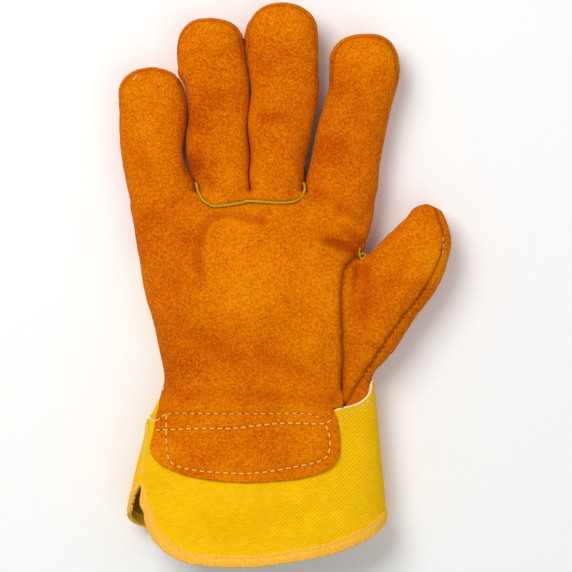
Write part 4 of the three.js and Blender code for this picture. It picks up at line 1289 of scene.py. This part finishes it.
def split_leather():
    """Split cowhide, buffed to a nap: matt, with fibres that stand up and catch the light in specks, lighter
    and darker patches of worn nap, painted light and painted shade, and a deeper, redder painted shade where
    it is pressed into a seam or fold."""
    material, tree, shader = new_material("napped split leather", 0.95, 0.03)
    at = in_millimetres(tree)
    cloud = speckle(tree, at, 26, 3.0, 0.55)
    patch = speckle(tree, at, 6, 4.0, 0.6)
    nap = speckle(tree, at, 1.0, 2.5, 0.7, 0.4)
    # Worn nap and painted light lighten the tone here, painted shade darkens it.
    wear_light_shade_amount = add(tree, "ShaderNodeAttribute", attribute_name="wear_light_shade").outputs["Fac"]
    tone = blend_of(tree, [(cloud, 0.35), (patch, 0.35), (nap, 1.7), (wear_light_shade_amount, 0.35)])
    tone = add(tree, "ShaderNodeMapRange", [(tone, "Value")], {"From Min": 0.91, "From Max": 1.67}).outputs[0]
    colour = ramp_of(tree, tone, [(0.0, "#a84200"), (0.4, "#ce6001"), (0.65, "#dc7402"), (1.0, "#ec8e04")])
    # Painted shade: darker, redder colours mixed in along the folds and the seams.
    for attribute, shade, most in (("painted_fold_shade", "#a83a00", 0.75), ("painted_seam_shade", "#7a2a00", 0.9)):
        amount = add(tree, "ShaderNodeAttribute", attribute_name=attribute).outputs["Fac"]
        amount = blend_of(tree, [(amount, most), (nap, 0.25 * most)])
        amount = add(tree, "ShaderNodeMapRange", [(amount, "Value")],
                     {"From Min": 0.14 * most, "From Max": 1.14 * most, "To Max": most}).outputs[0]
        mixed = add(tree, "ShaderNodeMix", [(amount, 0), (colour, 6)], {7: linear(shade)}, data_type="RGBA")
        colour = mixed.outputs[2]
    tree.links.new(colour, shader.inputs["Base Color"])
    shader.inputs["Sheen Weight"].default_value = 0.12
    shader.inputs["Sheen Roughness"].default_value = 0.5
    shader.inputs["Sheen Tint"].default_value = linear("#ffb347")
    height = blend_of(tree, [(nap, 1.0), (patch, 0.4)])
    bump = add(tree, "ShaderNodeBump", [(height, "Height")], {"Strength": 0.7, "Distance": 0.0007})
    tree.links.new(bump.outputs["Normal"], shader.inputs["Normal"])
    return material


twill_turn = math.radians(38)


def cotton_drill(name, stops):
    """Cotton twill: diagonal ribs, drawn at about 1.5 mm so that they show, where the real ones are finer."""
    material, tree, shader = new_material(name, 0.9, 0.06)
    cloth = in_millimetres(tree, "UV", twill_turn)
    ribs = add(tree, "ShaderNodeTexWave", [(cloth, "Vector")],
               {"Scale": 0.314 / 1.35, "Distortion": 0.8, "Detail": 2.0, "Detail Scale": 2.0},
               bands_direction="Y").outputs["Fac"]
    at = in_millimetres(tree)
    cloud = speckle(tree, at, 20, 3.0, 0.6)
    slub = speckle(tree, in_millimetres(tree, "UV", twill_turn, (0.3, 1.4, 1)), 1.2, 3.0, 0.7)
    tone = blend_of(tree, [(ribs, 0.2), (slub, 0.8), (cloud, 0.5)])
    tone = add(tree, "ShaderNodeMapRange", [(tone, "Value")], {"From Min": 0.35, "From Max": 1.05}).outputs[0]
    tree.links.new(ramp_of(tree, tone, stops), shader.inputs["Base Color"])
    height = blend_of(tree, [(ribs, 1.0), (slub, 0.7)])
    bump = add(tree, "ShaderNodeBump", [(height, "Height")], {"Strength": 0.5, "Distance": 0.0003})
    tree.links.new(bump.outputs["Normal"], shader.inputs["Normal"])
    return material


def woven(name, size, stops, roughness=0.85):
    """A close plain cloth, thread or rolled strip with fine specks of the given size."""
    material, tree, shader = new_material(name, roughness, 0.08)
    grain = speckle(tree, in_millimetres(tree), size, 3.0, 0.7)
    tree.links.new(ramp_of(tree, grain, stops), shader.inputs["Base Color"])
    bump = add(tree, "ShaderNodeBump", [(grain, "Height")], {"Strength": 0.5, "Distance": 0.0003})
    tree.links.new(bump.outputs["Normal"], shader.inputs["Normal"])
    return material


leather_finish = split_leather()
drill_outside = cotton_drill("cotton drill", [(0.0, "#dc9e02"), (0.5, "#f0b804"), (1.0, "#fccb10")])
# Darker copies of the drill and the tape for their inner sides: painted shade.
drill_painted_shade_inside = cotton_drill("cotton drill, unlit inner side",
                            [(0.0, "#6e5408"), (0.5, "#8a6c10"), (1.0, "#a08020")])
raw_edge = woven("frayed raw edge of the drill", 0.8, [(0.2, "#e6cf9c"), (0.5, "#f2e2be"), (0.8, "#faf2e0")])
tape_finish = woven("cotton tape", 1.0, [(0.25, "#f0a81c"), (0.5, "#f9ba34"), (0.75, "#ffcf5c")])
tape_painted_shade_inside = woven("cotton tape, unlit inner side", 1.0,
                    [(0.25, "#9c7a1a"), (0.5, "#b28c22"), (0.75, "#c8a034")])
thread_finish = woven("polyester sewing thread", 0.5, [(0.3, "#e09c30"), (0.6, "#fcc85c")], 0.6)
fray_finish = woven("frayed cotton threads", 0.5, [(0.3, "#dcb898"), (0.6, "#f2dcc8")], 0.9)
hem_finish = woven("hemming thread", 0.5, [(0.3, "#e09a3c"), (0.6, "#f6c078")], 0.6)
pink_thread = woven("faded side seam thread", 0.5, [(0.3, "#dba68c"), (0.6, "#f2d0b8")], 0.6)
welt_finish = woven("rolled leather strip", 1.1,
                    [(0.25, "#9a7a10"), (0.5, "#ba961e"), (0.75, "#d2b040")], 0.8)
# Dark brown for the needle holes and the thumb lip's row: painted shade.
needle_hole_painted_shade = woven("painted shade in a needle hole", 0.8, [(0.3, "#743004"), (0.7, "#904006")], 0.95)

# The slot and the finishes of each piece. A piece that isn't named here is orange leather. The cuff's second
# and third finishes are its inner side, a darker copy of the drill as painted shade, and its raw edges, and
# the tape's second is its inner side, a darker copy of the tape as painted shade.
finished_as = {
    "back_hand": ("yellow_drill", drill_outside),
    "cuff": ("yellow_drill", drill_outside, drill_painted_shade_inside, raw_edge),
    "cuff_binding": ("edge_tape", tape_finish, tape_painted_shade_inside),
    "sewing_thread": ("welt_cord", thread_finish),
    "side_seam_thread": ("welt_cord", pink_thread),
    "hem_thread": ("welt_cord", hem_finish),
    "needle_holes": ("orange_leather", needle_hole_painted_shade),
    "finger_welt": ("welt_cord", welt_finish),
    "thumb_welt": ("welt_cord", welt_finish),
    "frayed_corner": ("yellow_drill", fray_finish),
}

# The glove was drawn round its own origin, so all its pieces move together into the frame. This is the same
# shift as that of the pieces of model.glb, which centres the glove on the floor.
shift = Vector((-16.374, 46.484, 0)) * MM

for piece in (*hand.values(), cuff, binding, thread, side_thread, hem_thread, needle_holes, finger_welt,
              thumb_welt, fray):
    plain = piece.name.split(".")[0]
    slot, *finishes = finished_as.get(plain, ("orange_leather", leather_finish))
    for finish in finishes:
        piece.data.materials.append(finish)
    piece.data.transform(Matrix.Translation(shift))
    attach(piece, "root")
    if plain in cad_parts:
        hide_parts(plain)


def studio():
    """A plain pale floor, soft light from above and the camera straight over the glove."""
    bm = bmesh.new()
    bmesh.ops.create_grid(bm, x_segments=1, y_segments=1, size=3)
    floor = object_of(bm, "floor")
    material, tree, shader = new_material("pale floor", 0.9, 0.2)
    shader.inputs["Base Color"].default_value = linear("#f7f7f6")
    floor.data.materials.append(material)

    for name, place, size, power in (("key", (-0.45, 0.55, 1.1), 0.7, 11.5),
                                     ("fill", (0.5, -0.4, 1.2), 1.2, 3.5)):
        light = bpy.data.lights.new(name, "AREA")
        light.size = size
        light.energy = power
        lamp = put_in_scene(name, light)
        lamp.location = place
        lamp.rotation_euler = (-Vector(place)).to_track_quat("-Z", "Y").to_euler()
    world = bpy.data.worlds.new("soft white")
    world.use_nodes = True
    world.node_tree.nodes["Background"].inputs["Color"].default_value = (1, 1, 1, 1)
    world.node_tree.nodes["Background"].inputs["Strength"].default_value = 0.4
    bpy.context.scene.world = world
    bpy.context.scene.view_settings.view_transform = "Standard"

    # The picture is 572 points wide at 0.475 mm each, at half the glove's height. The glove's own origin lies
    # at the given point of it, counted from the left and from the top.
    picture, scale = 572, 0.475 * MM
    origin_across, origin_down = 250, 188
    half_height = 0.02
    lens, film = 200.0, 36.0
    data = bpy.data.cameras.new("camera")
    data.lens = lens
    data.sensor_width = film
    data.clip_end = 10
    camera = put_in_scene("camera", data)
    across, up = (0.5 * picture - origin_across) * scale, (origin_down - 0.5 * picture) * scale
    distance = picture * scale * lens / film
    camera.location = Vector((across, up, distance + half_height)) + shift
    bpy.context.scene.camera = camera


studio()
